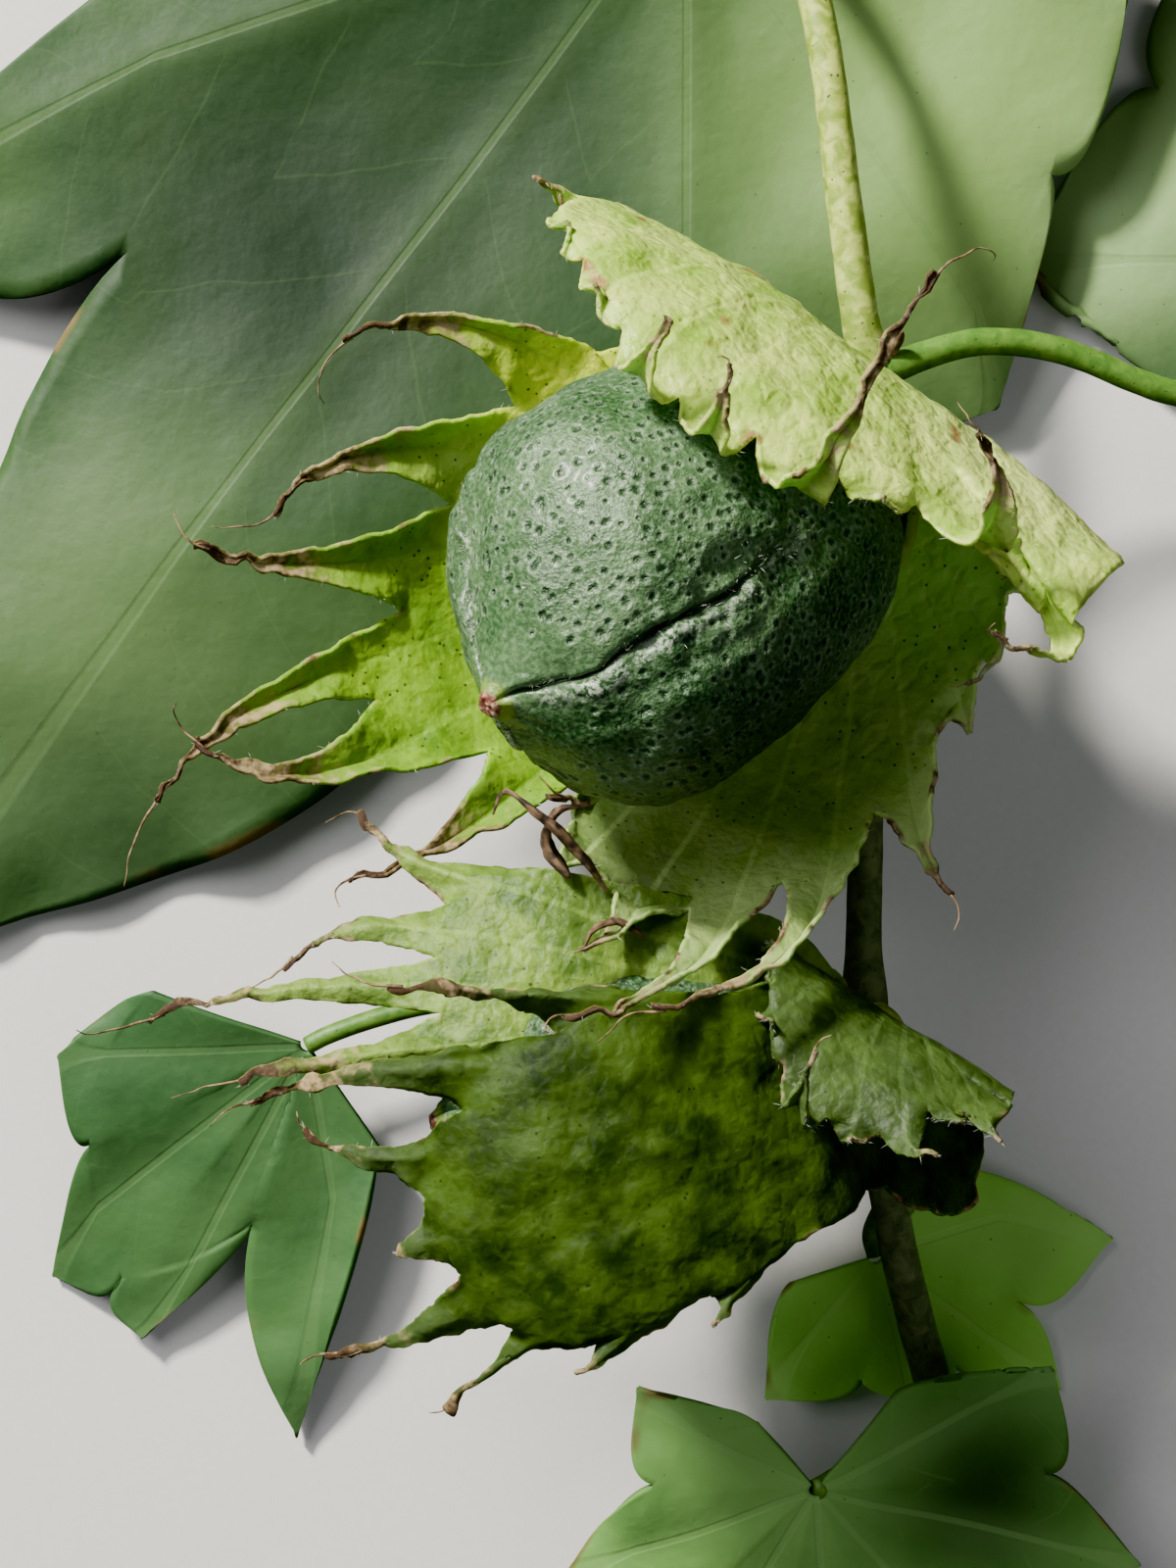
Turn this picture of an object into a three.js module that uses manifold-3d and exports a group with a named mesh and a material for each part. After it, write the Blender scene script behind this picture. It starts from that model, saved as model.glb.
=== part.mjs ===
// A cut fruiting branch of a cotton plant, lying on its back: a main stem with two nodes, a large
// green boll and a younger one, each in three toothed bracts, and five lobed leaves on their stalks.
// Millimetres, +Z up. The branch is laid out seen from above: +X is right, +Y is up the page, and
// the leaves lie lowest. At the end the whole group is moved so that its origin is the centre of its
// footprint, on the ground.
import * as THREE from "three";
import { mergeGeometries, mergeVertices } from "three/addons/utils/BufferGeometryUtils.js";
import Module from "manifold-3d";

const wasm = await Module();
wasm.setup();

const point = (x, y, z) => new THREE.Vector3(x, y, z);
const radians = THREE.MathUtils.degToRad;

// Running gap between neighbours, how much larger a cutter is than its piece, and how close
// vertices are welded.
const CLEAR = 0.3;
const ROOM = 0.5;
const WELD = 1e-3;

// Sheet thicknesses.
const BRACT_THICK = 0.62;
const LEAF_THICK = 1.25;

// Colours: hex, roughness.
const FINISH = {
  boll: ["#3d6b3f", 0.4],
  bract: ["#8fb04a", 0.6],
  calyx: ["#9cb85a", 0.6],
  leaf: ["#4f7f4c", 0.5],
  stem: ["#4b5a2c", 0.6],
  stalk: ["#8fa64e", 0.5],
};

// The two bolls: centre, direction from base to tip, length, widest diameter and where the
// first of the three seams faces.
const BOLLS = {
  open: {
    centre: point(6, 17.2, 36),
    axis: point(-0.633, -0.509, 0.578).normalize(),
    length: 43,
    diameter: 32,
    seam: point(-0.1, -0.35, 0.94),
    sides: 30,
  },
  young: {
    centre: point(4, -25.5, 27.5),
    axis: point(-0.95, -0.1, 0.24).normalize(),
    length: 34,
    diameter: 24,
    seam: point(0, 0.5, 0.86),
    sides: 21,
  },
};
// Outline of a boll: share of its length, and share of its half width there.
const BOLL_OUTLINE = [
  [0, 0], [0, 0.2], [0.03, 0.42], [0.1, 0.7], [0.24, 0.93], [0.42, 1], [0.58, 0.96],
  [0.72, 0.83], [0.84, 0.6], [0.91, 0.38], [0.955, 0.2], [1, 0.1], [1, 0],
];
// Share of a boll's length that lies behind its centre, its seams, and the swelling between them.
const BOLL_SHARE_BEHIND = 0.49;
const SEAMS = 3;
const SEAM_DEPTH = 0.12;
const SEAM_WIDTH = radians(9);
const SIDE_BULGE = 0.035;

// Main stem, from its cut foot to the upper node. It swells at its two nodes.
const STEM_PATH = [
  point(36, -68, 1.9), point(30.5, -52.9, 5), point(25.8, -34.7, 11), point(23.7, -19.2, 15.2),
  point(23.6, -4, 16.8), point(23.9, 16.6, 17.6), point(24.3, 34.4, 18),
];
const knot = (along, place, size) => size * Math.exp(-Math.pow((along - place) / 0.03, 2));
const STEM_LOOK = {
  foot: 1.75,
  top: 1.35,
  steps: 24,
  swell: (along) => knot(along, 1, 0.5) + knot(along, 0.5, 0.45),
};

// A path with both ends made longer by the same amount.
function longer(path, by) {
  const past = (end, inward) => end.clone().sub(inward).setLength(by).add(end);
  return [past(path[0], path[1]), ...path.slice(1, -1), past(path.at(-1), path.at(-2))];
}

// A tube that tapers along a smooth path, with flat ends. The swell, given at a share of the way,
// adds to the radius. Grown, the tube is larger all over, its ends too.
function limb(path, { foot, top, sides = 8, steps = 12, swell = () => 0 }, grow = 0) {
  const line = new THREE.CatmullRomCurve3(grow > 0 ? longer(path, grow) : path, false, "centripetal");
  const length = line.getLength();
  const frames = line.computeFrenetFrames(steps);
  const tube = new THREE.CylinderGeometry(1, 1, 1, sides, steps);
  const at = tube.getAttribute("position");
  for (let i = 0; i < at.count; i++) {
    const step = Math.round((at.getY(i) + 0.5) * steps);
    const share = ((step / steps) * length - grow) / (length - 2 * grow);
    const along = THREE.MathUtils.clamp(share, 0, 1);
    const radius = foot + (top - foot) * along + swell(along) + grow;
    const place = line.getPointAt(step / steps)
      .addScaledVector(frames.binormals[step], at.getX(i) * radius)
      .addScaledVector(frames.normals[step], at.getZ(i) * radius);
    at.setXYZ(i, place.x, place.y, place.z);
  }
  return tube;
}

// Positions only, welded, so that a geometry is one indexed surface.
function welded(geometry) {
  const bare = new THREE.BufferGeometry().setAttribute("position", geometry.getAttribute("position"));
  bare.setIndex(geometry.index);
  return mergeVertices(bare, WELD);
}

function toSolid(geometry) {
  const shape = welded(geometry);
  const vertProperties = new Float32Array(shape.getAttribute("position").array);
  return new wasm.Manifold(
    new wasm.Mesh({ numProp: 3, vertProperties, triVerts: new Uint32Array(shape.index.array) }),
  );
}

function toGeometry(solid) {
  const mesh = solid.getMesh();
  const shape = new THREE.BufferGeometry();
  shape.setAttribute("position", new THREE.BufferAttribute(mesh.vertProperties, 3));
  return shape.setIndex(new THREE.BufferAttribute(mesh.triVerts, 1));
}

// What is left of a solid once others are cut from it: its largest piece.
function cutClear(geometry, ...cutters) {
  const left = cutters.reduce((solid, cutter) => solid.subtract(toSolid(cutter)), toSolid(geometry));
  const pieces = left.decompose().sort((a, b) => b.volume() - a.volume());
  return toGeometry(pieces[0]);
}

// A closed sheet of even thickness about an open surface: both faces, and a rim on every open edge.
function thickened(surface, thick) {
  const sheet = welded(surface);
  sheet.computeVertexNormals();
  const at = sheet.getAttribute("position");
  const normal = sheet.getAttribute("normal");
  const corners = Array.from(sheet.index.array);
  const count = at.count;
  const places = new Float32Array(count * 6);
  for (let i = 0; i < count; i++) {
    const spot = point(0, 0, 0).fromBufferAttribute(at, i);
    const half = point(0, 0, 0).fromBufferAttribute(normal, i).multiplyScalar(thick / 2);
    spot.clone().add(half).toArray(places, 3 * i);
    spot.clone().sub(half).toArray(places, 3 * (i + count));
  }
  const faces = [];
  const edges = new Set();
  for (let i = 0; i < corners.length; i += 3) {
    const [a, b, c] = corners.slice(i, i + 3);
    faces.push(a, b, c, a + count, c + count, b + count);
    for (const edge of [[a, b], [b, c], [c, a]]) {
      edges.add(edge.join());
    }
  }
  for (const edge of edges) {
    const [a, b] = edge.split(",").map(Number);
    if (!edges.has([b, a].join())) faces.push(b, a, a + count, b, a + count, b + count);
  }
  const solid = new THREE.BufferGeometry();
  solid.setAttribute("position", new THREE.BufferAttribute(places, 3));
  return solid.setIndex(faces);
}

// How a flat blade lies in space. It follows a spine, wraps across it with a curvature that goes
// from `wrap[0]` at the base to `wrap[1]` at the margin (positive turns the edges to the front),
// and has a gentle wave.
function lie({ spine, across, wrap, wave = [0, 1] }) {
  const line = new THREE.CatmullRomCurve3(spine, false, "centripetal");
  const length = line.getLength();
  return (right, forward) => {
    const share = THREE.MathUtils.clamp(forward / length, 0, 1);
    const tangent = line.getTangentAt(share);
    const middle = line.getPointAt(share).addScaledVector(tangent, forward - share * length);
    const side = across.clone().addScaledVector(tangent, -across.dot(tangent)).normalize();
    const front = side.clone().cross(tangent);
    const bend = wrap[0] + (wrap[1] - wrap[0]) * share;
    const turn = right * bend;
    const wave1 = wave[0] * Math.sin(right / wave[1] + forward / (2 * wave[1]));
    const sideways = Math.abs(turn) < 1e-6 ? right : Math.sin(turn) / bend;
    const raised = Math.abs(turn) < 1e-6 ? 0 : (1 - Math.cos(turn)) / bend;
    return middle.addScaledVector(side, sideways).addScaledVector(front, raised + wave1);
  };
}

// Place on the flat blade, from its base, at an angle off the spine.
const onFlat = (place, angle, reach) => place(reach * Math.sin(angle), reach * Math.cos(angle));

// Half width of a tooth at its tip, how fast it narrows, how much it folds lengthways, and the fine
// steps to each of its rows.
const TOOTH_TIP = 0.3;
const TOOTH_TAPER = 1.9;
const TOOTH_FOLD = 0.5;
const TOOTH_FINE = 6;

// A narrow tooth that grows out of the margin of a bract. It curls to the front by `curl` degrees,
// mostly at its root, and sweeps to the right by `sweep` degrees, mostly towards its tip.
// The result gives the place at a share across (-1 to 1) and a row.
function tooth(place, lobe, rows) {
  const edge = (u) => onFlat(place, lobe.angleAt(u), lobe.reachAt(u));
  const start = edge(0);
  const before = onFlat(place, lobe.angleAt(0), lobe.reachAt(0) - 1);
  const ahead = start.clone().sub(before).normalize();
  const halfWidth = edge(1).distanceTo(edge(-1)) / 2;
  const side = edge(1).sub(edge(-1)).normalize();
  side.addScaledVector(ahead, -side.dot(ahead)).normalize();
  const front = side.clone().cross(ahead);
  const [length, curl = 0, sweep = 0] = lobe.tooth;
  const stations = [{ at: start.clone(), side: side.clone(), front: front.clone() }];
  const steps = rows * TOOTH_FINE;
  const at = start.clone();
  for (let step = 1; step <= steps; step++) {
    const share = step / steps;
    const curled = new THREE.Quaternion()
      .setFromAxisAngle(side, (radians(curl) * 3 * Math.pow(1 - share, 2)) / steps);
    const swept = new THREE.Quaternion()
      .setFromAxisAngle(front, (-radians(sweep) * 2 * share) / steps);
    for (const arm of [ahead, side, front]) {
      arm.applyQuaternion(curled).applyQuaternion(swept);
    }
    at.addScaledVector(ahead, length / steps);
    if (step % TOOTH_FINE === 0) {
      stations.push({ at: at.clone(), side: side.clone(), front: front.clone() });
    }
  }
  return (u, row) => {
    const share = row / rows;
    const station = stations[row];
    const half = TOOTH_TIP + (halfWidth - TOOTH_TIP) * Math.pow(1 - share, TOOTH_TAPER);
    const fold = TOOTH_FOLD * Math.min(1, 3 * share) * Math.abs(u) * half;
    const off = edge(u).sub(start).addScaledVector(stations[0].side, -u * halfWidth);
    return station.at.clone()
      .addScaledVector(station.side, u * half)
      .addScaledVector(station.front, fold)
      .addScaledVector(off, Math.pow(1 - share, 3));
  };
}
// Share of the width that a leaf's lobe has at its tip, how late it narrows, and how much it widens
// half way.
const LOBE_TIP = 0.05;
const LOBE_TAPER = 1.6;
const LOBE_SWELL = 0.16;

// A wide lobe of a leaf: it keeps to the blade's own lie, and narrows to its point.
function pointedLobe(place, lobe, rows) {
  const flat = (angle, reach) => new THREE.Vector2(reach * Math.sin(angle), reach * Math.cos(angle));
  const edge = (u) => flat(lobe.angleAt(u), lobe.reachAt(u));
  const [angle, reach, bow = 0] = lobe.point;
  const tip = flat(radians(angle), reach);
  const across = new THREE.Vector2(Math.cos(radians(angle)), -Math.sin(radians(angle)));
  return (u, row) => {
    const share = row / rows;
    const width = (1 - Math.pow(share, LOBE_TAPER)) * (1 + LOBE_SWELL * Math.sin(Math.PI * share));
    const spot = edge(0).lerp(tip, share)
      .addScaledVector(edge(u).sub(edge(0)), Math.max(width, LOBE_TIP))
      .addScaledVector(across, bow * Math.sin(Math.PI * share));
    return place(spot.x, spot.y);
  };
}
// The open surface of a blade: sectors side by side, fanned about its base, each between two
// corners of the margin, given as [angle in degrees, reach].
function blade(place, sectors, { inner, rows }) {
  return mergeGeometries(sectors.map(({ from, to, columns, beyond, extra, ...rest }) => {
    const between = (i) => (u) => from[i] + (to[i] - from[i]) * (u + 1) / 2;
    const lobe = { ...rest, angleAt: (u) => radians(between(0)(u)), reachAt: between(1) };
    const outside = beyond?.(place, lobe, extra);
    const sheet = new THREE.PlaneGeometry(2, 1, columns, rows + extra);
    const at = sheet.getAttribute("position");
    for (let i = 0; i < at.count; i++) {
      const u = at.getX(i);
      const row = Math.round((at.getY(i) + 0.5) * (rows + extra));
      const reach = inner + (lobe.reachAt(u) - inner) * (row / rows);
      const spot = row <= rows ? onFlat(place, lobe.angleAt(u), reach) : outside(u, row - rows);
      at.setXYZ(i, spot.x, spot.y, spot.z);
    }
    return sheet;
  }));
}

// How far from its base a bract and a leaf begin, and how many degrees their sides turn outwards
// for each millimetre they are grown.
const BRACT_INNER = 2.2;
const BRACT_SIDE_TURN = 25;
const LEAF_INNER = 1.2;
const LEAF_SIDE_TURN = 60;

// A bract: a broad blade with a smooth ear on each side of its base, and narrow teeth on its far
// margin. Each tooth is [angle, reach of the margin there, length, curl, sweep]; the ears are
// corners [angle, reach], from the last tooth outwards.
function bract({ left, teeth, right, ...pose }, grow = 0) {
  const valley = ([a, b], [c, d]) => [(a + c) / 2, (b + d) / 2];
  const corners = [
    ...left.toReversed(), ...teeth.slice(1).map((one, i) => valley(one, teeth[i])), ...right,
  ].map(([angle, reach]) => [angle, reach + grow]);
  corners[0][0] -= grow * BRACT_SIDE_TURN;
  corners.at(-1)[0] += grow * BRACT_SIDE_TURN;
  const sectors = corners.slice(1).map((to, i) => {
    const one = teeth[i - left.length + 1];
    const point = one && { tooth: one.slice(2), beyond: tooth };
    return { from: corners[i], to, columns: 2, extra: one ? 4 : 0, ...point };
  });
  const inner = BRACT_INNER - grow;
  return thickened(blade(lie(pose), sectors, { inner, rows: 4 }), BRACT_THICK + 2 * grow);
}
// A palmate leaf: pointed lobes [angle, reach, bow] between notches [angle, reach]. The first and
// the last notch are the corners behind its base. It is let down until it touches the ground.
function leaf({ lobes, notches, columns = 4, rows = 5, lobeRows = 5, ...pose }, grow = 0) {
  const corners = notches.map(([angle, reach]) => [angle, reach + grow]);
  corners[0][0] -= grow * LEAF_SIDE_TURN;
  corners.at(-1)[0] += grow * LEAF_SIDE_TURN;
  const sectors = lobes.map((one, i) => ({
    from: corners[i], to: corners[i + 1], point: one, columns, extra: lobeRows, beyond: pointedLobe,
  }));
  const inner = LEAF_INNER - grow;
  const solid = thickened(blade(lie(pose), sectors, { inner, rows }), LEAF_THICK + 2 * grow);
  solid.computeBoundingBox();
  const drop = -solid.boundingBox.min.z - grow;
  return { solid: solid.translate(0, 0, drop), base: pose.spine[0].clone().add(point(0, 0, drop)) };
}

// A boll: its outline turned about its axis, pressed in along three seams.
function boll({ centre, axis, length, diameter, seam, sides }, grow = 0) {
  const outline = new THREE.SplineCurve(
    BOLL_OUTLINE.slice(1, -1).map(([along, wide]) => new THREE.Vector2(wide, along)),
  );
  const profile = [new THREE.Vector2(0, 0), ...outline.getPoints(14), new THREE.Vector2(0, 1)];
  const body = new THREE.LatheGeometry(profile, sides);
  const first = seam.clone().addScaledVector(axis, -seam.dot(axis)).normalize();
  const second = axis.clone().cross(first);
  const base = centre.clone().addScaledVector(axis, -length * BOLL_SHARE_BEHIND);
  const at = body.getAttribute("position");
  for (let i = 0; i < at.count; i++) {
    const along = at.getY(i);
    const around = Math.atan2(at.getX(i), at.getZ(i));
    const radius = Math.hypot(at.getX(i), at.getZ(i)) * (diameter / 2) * seamShare(around, along) + grow;
    const spot = base.clone().addScaledVector(axis, along * length)
      .addScaledVector(first, radius * Math.cos(around))
      .addScaledVector(second, radius * Math.sin(around));
    at.setXYZ(i, spot.x, spot.y, spot.z);
  }
  return body;
}

// Share of the radius that is left at an angle round the boll, where a seam is pressed in.
function seamShare(around, along) {
  const period = (2 * Math.PI) / SEAMS;
  const off = around - period * Math.round(around / period);
  const groove = Math.exp(-Math.pow(off / SEAM_WIDTH, 2));
  const hollow = SIDE_BULGE * (1 + Math.cos(SEAMS * around)) / 2;
  return 1 - SEAM_DEPTH * groove * Math.pow(along, 1.5) - hollow;
}

// A place on the axis of a boll, so many millimetres behind its base.
const behindBoll = ({ centre, axis, length }, back) =>
  centre.clone().addScaledVector(axis, -length * BOLL_SHARE_BEHIND - back);

// The calyx: a shallow cup that hugs the foot of a boll. Grown, it is a plug of its outer shape.
const CALYX_WALL = 0.7;
function calyx(shape, grow = 0) {
  const { axis, length, diameter } = shape;
  const inside = new THREE.SplineCurve(
    BOLL_OUTLINE.slice(1, 4).map(([along, wide]) => new THREE.Vector2((wide * diameter) / 2, along * length)),
  ).getPoints(3);
  const moved = (by) => inside.map((spot) => spot.clone().add(new THREE.Vector2(by, -by)));
  const outer = moved(CALYX_WALL + CLEAR + grow);
  const brim = new THREE.Vector2(outer.at(-1).x, inside.at(-1).y + grow);
  const inner = grow > 0 ? [brim] : moved(CLEAR).reverse();
  const onAxis = (y) => new THREE.Vector2(0, y);
  const cup = new THREE.LatheGeometry([onAxis(outer[0].y), ...outer, ...inner, onAxis(inner.at(-1).y)], 18);
  cup.applyQuaternion(new THREE.Quaternion().setFromUnitVectors(point(0, 1, 0), axis));
  const base = behindBoll(shape, 0);
  return cup.translate(base.x, base.y, base.z);
}

const root = new THREE.Group();
function add(name, geometry, finish) {
  const [color, roughness] = FINISH[finish];
  const mesh = new THREE.Mesh(geometry, new THREE.MeshStandardMaterial({ color, roughness, metalness: 0 }));
  mesh.name = name;
  root.add(mesh);
}

for (const [name, shape] of Object.entries(BOLLS)) {
  add(`boll_${name}`, boll(shape), "boll");
  add(`calyx_${name}`, calyx(shape), "calyx");
}
const fatBolls = Object.values(BOLLS).flatMap((shape) => [boll(shape, CLEAR), calyx(shape, CLEAR)]);

// The stem, and the same stem larger all over, which what lies beside it is cut clear of.
add("main_stem", limb(STEM_PATH, STEM_LOOK), "stem");
const fatStem = limb(STEM_PATH, STEM_LOOK, ROOM);

// The stalks of the bolls. They flare under the calyx.
const PEDICELS = {
  pedicel_open: [
    point(24.3, 33.5, 18.4), point(23.8, 32, 20), behindBoll(BOLLS.open, 3.4), behindBoll(BOLLS.open, 1.35),
  ],
  pedicel_young: [
    point(23.7, -19.2, 15.4), point(25.4, -20.6, 18.5), point(25, -22.8, 21.6),
    behindBoll(BOLLS.young, 3.4), behindBoll(BOLLS.young, 1.35),
  ],
};
const flare = (along) => 1.5 * Math.pow(Math.max(0, (along - 0.8) / 0.2), 2);
const PEDICEL_LOOK = { foot: 1.3, top: 1.4, steps: 9, swell: flare };
for (const [name, path] of Object.entries(PEDICELS)) {
  add(name, cutClear(limb(path, PEDICEL_LOOK), fatStem), "stalk");
}
const fatPedicels = Object.values(PEDICELS).map((path) => limb(path, PEDICEL_LOOK, 2 * CLEAR));

// Bracts, by boll. `across` points to the bract's right, so that its front is its inner face.
const BRACTS = {
  bract_open_low: {
    spine: [
      point(21, 28.4, 21.8), point(22, 22, 19.8), point(22, 12, 21.2), point(20, 0, 25),
      point(17.5, -11, 34.5),
    ],
    across: point(-0.94, 0.09, -0.33), wrap: [0, 0.012],
    left: [[-53, 17], [-75, 15], [-95, 10]],
    teeth: [
      [-47, 19, 2.5, 0, 0], [-36, 20, 8, 60, 90], [-25, 23, 3, 0, 0], [-13, 28.5, 13, 10, -30],
      [-1, 37.5, 28, 22, 72], [8, 43.5, 24, 26, 50], [17, 46, 9, 20, 20], [26, 44.5, 6, 20, 0],
      [35, 37, 4, 60, 0],
    ],
    right: [[42, 30], [60, 20], [80, 12]],
  },
  bract_open_left: {
    spine: [
      point(20.4, 28.6, 22), point(17.2, 26.6, 17), point(9.5, 20.8, 13.8), point(-4, 16.5, 13.6),
      point(-18, 12, 18),
    ],
    across: point(-0.309, 0.951, 0), wrap: [0.012, 0.03],
    left: [[-48, 29], [-62, 22], [-80, 12]],
    teeth: [
      [-43, 32, 9, 60, -60], [-33, 34, 12, 60, 40], [-24, 34, 21, 0, 30], [-9, 50, 22, 5, 70],
      [-2, 46, 25, 5, -40], [7, 40, 21, 10, 25], [22, 35, 20, 10, -60], [36, 31, 21, 10, -60],
    ],
    right: [[46, 26], [65, 18], [85, 11]],
  },
  bract_open_top: {
    spine: [
      point(20.6, 29.8, 22.6), point(23.8, 33.4, 29), point(18.8, 34.2, 40), point(14.5, 29.5, 48.5),
      point(12.5, 23.5, 51.5),
    ],
    across: point(0.815, -0.58, 0), wrap: [0.008, 0.014],
    left: [[-56, 28], [-70, 19], [-88, 11]],
    teeth: [
      [-50, 34, 6, 0, 0], [-38, 32.5, 3, -60, 0], [-27, 33.5, 4, -90, 0], [-17, 35, 5, -140, 0],
      [-6, 35.5, 6, -130, -20], [4, 34.5, 27, -140, 20], [15, 35.5, 3, -60, 0],
      [25.5, 39.5, 12, -150, -40], [36, 41, 6.5, -140, 0], [48, 39, 3, -30, 0],
    ],
    right: [[56, 36], [70, 28], [88, 14]],
  },
  bract_young_front: {
    spine: [
      point(24, -25.2, 26.6), point(21.6, -25.5, 30), point(18.3, -26, 37), point(10, -28, 42),
      point(1, -31.5, 44), point(-8, -35, 42), point(-14, -37.5, 38.5),
    ],
    across: point(0.342, -0.94, 0), wrap: [0.01, 0.03],
    left: [[-33, 20], [-52, 12], [-78, 8], [-105, 7]],
    teeth: [
      [-28, 29, 20, 0, 0], [-18, 37, 22, 0, 20], [-9, 46, 13, 0, -50], [-1, 46, 5, 0, 0],
      [7, 44, 16, 0, -20], [13, 43, 11, 0, 10], [18.5, 36, 6, 0, 0], [24.5, 26, 5, 0, 0],
    ],
    right: [[30, 18], [45, 10], [72, 8], [105, 11], [135, 16], [158, 15]],
  },
  bract_young_top: {
    spine: [
      point(21.4, -21.6, 24.4), point(18.2, -18.5, 28.5), point(12, -15.5, 32), point(3, -14.2, 33.5),
      point(-6, -12, 33.5), point(-13, -11, 32),
    ],
    across: point(-0.4, -0.85, 0.3), wrap: [0.01, 0.01],
    left: [[-10, 33], [-20, 16], [-36, 7], [-55, 4]],
    teeth: [[-6, 38, 13, 0, -40], [1, 38.5, 14, 0, 60], [8, 38, 24, 0, 20], [15, 37, 20, 0, 10]],
    right: [[20, 30], [28, 19], [45, 12], [70, 8]],
  },
  bract_young_fold: {
    spine: [
      point(22.4, -23, 25), point(24.4, -19.6, 28), point(22.3, -18, 34.5), point(19.5, -21.5, 39.5),
      point(18, -26, 41.5),
    ],
    across: point(0.84, -0.54, 0.2), wrap: [0, 0],
    left: [[-41, 14], [-65, 10], [-90, 7]],
    teeth: [
      [-33, 15, 2, -60, 0], [-16, 19, 2, -60, 0], [-4, 23.5, 8, -140, 0], [7, 24.5, 2, -60, 0],
      [16, 24.5, 6, -60, 60], [25, 21, 2, 0, 0], [35, 23.5, 2.5, 0, 0],
    ],
    right: [[41, 21], [62, 14], [88, 8]],
  },
};
// Each later bract of a boll is cut clear of the earlier ones where they crowd at its foot.
const MAKE_ROOM = [
  ["bract_open_left", "bract_open_low"],
  ["bract_open_top", "bract_open_left"],
  ["bract_open_top", "bract_open_low"],
  ["bract_young_top", "bract_young_front"],
  ["bract_young_top", "bract_open_low"],
  ["bract_young_fold", "bract_young_front"],
  ["bract_young_fold", "bract_young_top"],
];
for (const [name, shape] of Object.entries(BRACTS)) {
  const crowding = MAKE_ROOM.filter(([one]) => one === name).map(([, other]) => bract(BRACTS[other], ROOM));
  add(name, cutClear(bract(shape), fatStem, ...fatPedicels, ...fatBolls, ...crowding), "bract");
}

// Leaves: spine, wrap, and lobes as [angle off the spine, reach, bow], from left to right.
const LEAVES = {
  leaf_top: {
    spine: [point(8.6, 79.4, 9), point(-10, 55, 5), point(-32, 26, 6), point(-60, -12, 2)],
    across: point(0.79, -0.61, 0), wrap: [0.002, 0.004], wave: [1.2, 9],
    lobes: [[-84, 48], [-31, 82], [0, 119], [42, 78], [68, 54], [124, 40]],
    notches: [[-112, 24], [-50, 40], [-19.5, 59], [19.5, 72], [55, 50], [88, 41], [145, 18]],
  },
  leaf_left: {
    spine: [point(-24.7, -23, 7), point(-31, -34, 5.5), point(-40, -50, 2)],
    across: point(0.866, -0.5, 0), wrap: [0, 0.01], wave: [0.8, 7],
    lobes: [[-58, 22], [-18, 32], [0, 31], [27, 36]],
    notches: [[-80, 14], [-36, 21], [-9, 27], [12, 17], [64, 11]],
    rows: 3, lobeRows: 4,
  },
  leaf_foot: {
    spine: [point(19.7, -61, 11), point(20.5, -72, 8.5), point(22.5, -94, 2)],
    across: point(0.996, 0.087, 0), wrap: [0.006, 0.012], wave: [0.8, 7],
    lobes: [[-118, 16], [-72, 24], [-35, 34], [0, 42], [35, 38], [70, 30], [112, 23]],
    notches: [[-146, 8], [-98, 14], [-52, 19], [-17, 24], [17, 26], [53, 25], [88, 20], [138, 11]],
    columns: 2, rows: 3, lobeRows: 4,
  },
  leaf_behind: {
    spine: [point(25.5, -42, 3), point(33, -47, 2.5), point(42, -54, 1)],
    across: point(-0.57, -0.82, 0), wrap: [0, 0.01], wave: [0.4, 7],
    lobes: [[-40, 21], [0, 21], [40, 14], [94, 16]],
    notches: [[-85, 10], [-17, 13], [20, 12], [62, 11], [130, 8]],
    columns: 2, rows: 3, lobeRows: 3,
  },
  leaf_right: {
    spine: [point(69, 46, 7), point(58, 52, 5), point(42, 60, 1)],
    across: point(0.46, 0.888, 0), wrap: [0, 0.01], wave: [0.6, 7],
    lobes: [[-26, 31], [38, 34], [90, 26]],
    notches: [[-66, 18], [14, 24], [60, 19], [125, 12]],
    rows: 3, lobeRows: 4,
  },
};
const leaves = Object.fromEntries(Object.entries(LEAVES).map(([name, shape]) => [name, leaf(shape)]));
for (const [name, { solid }] of Object.entries(leaves)) {
  add(name, cutClear(solid, fatStem), "leaf");
}

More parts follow.
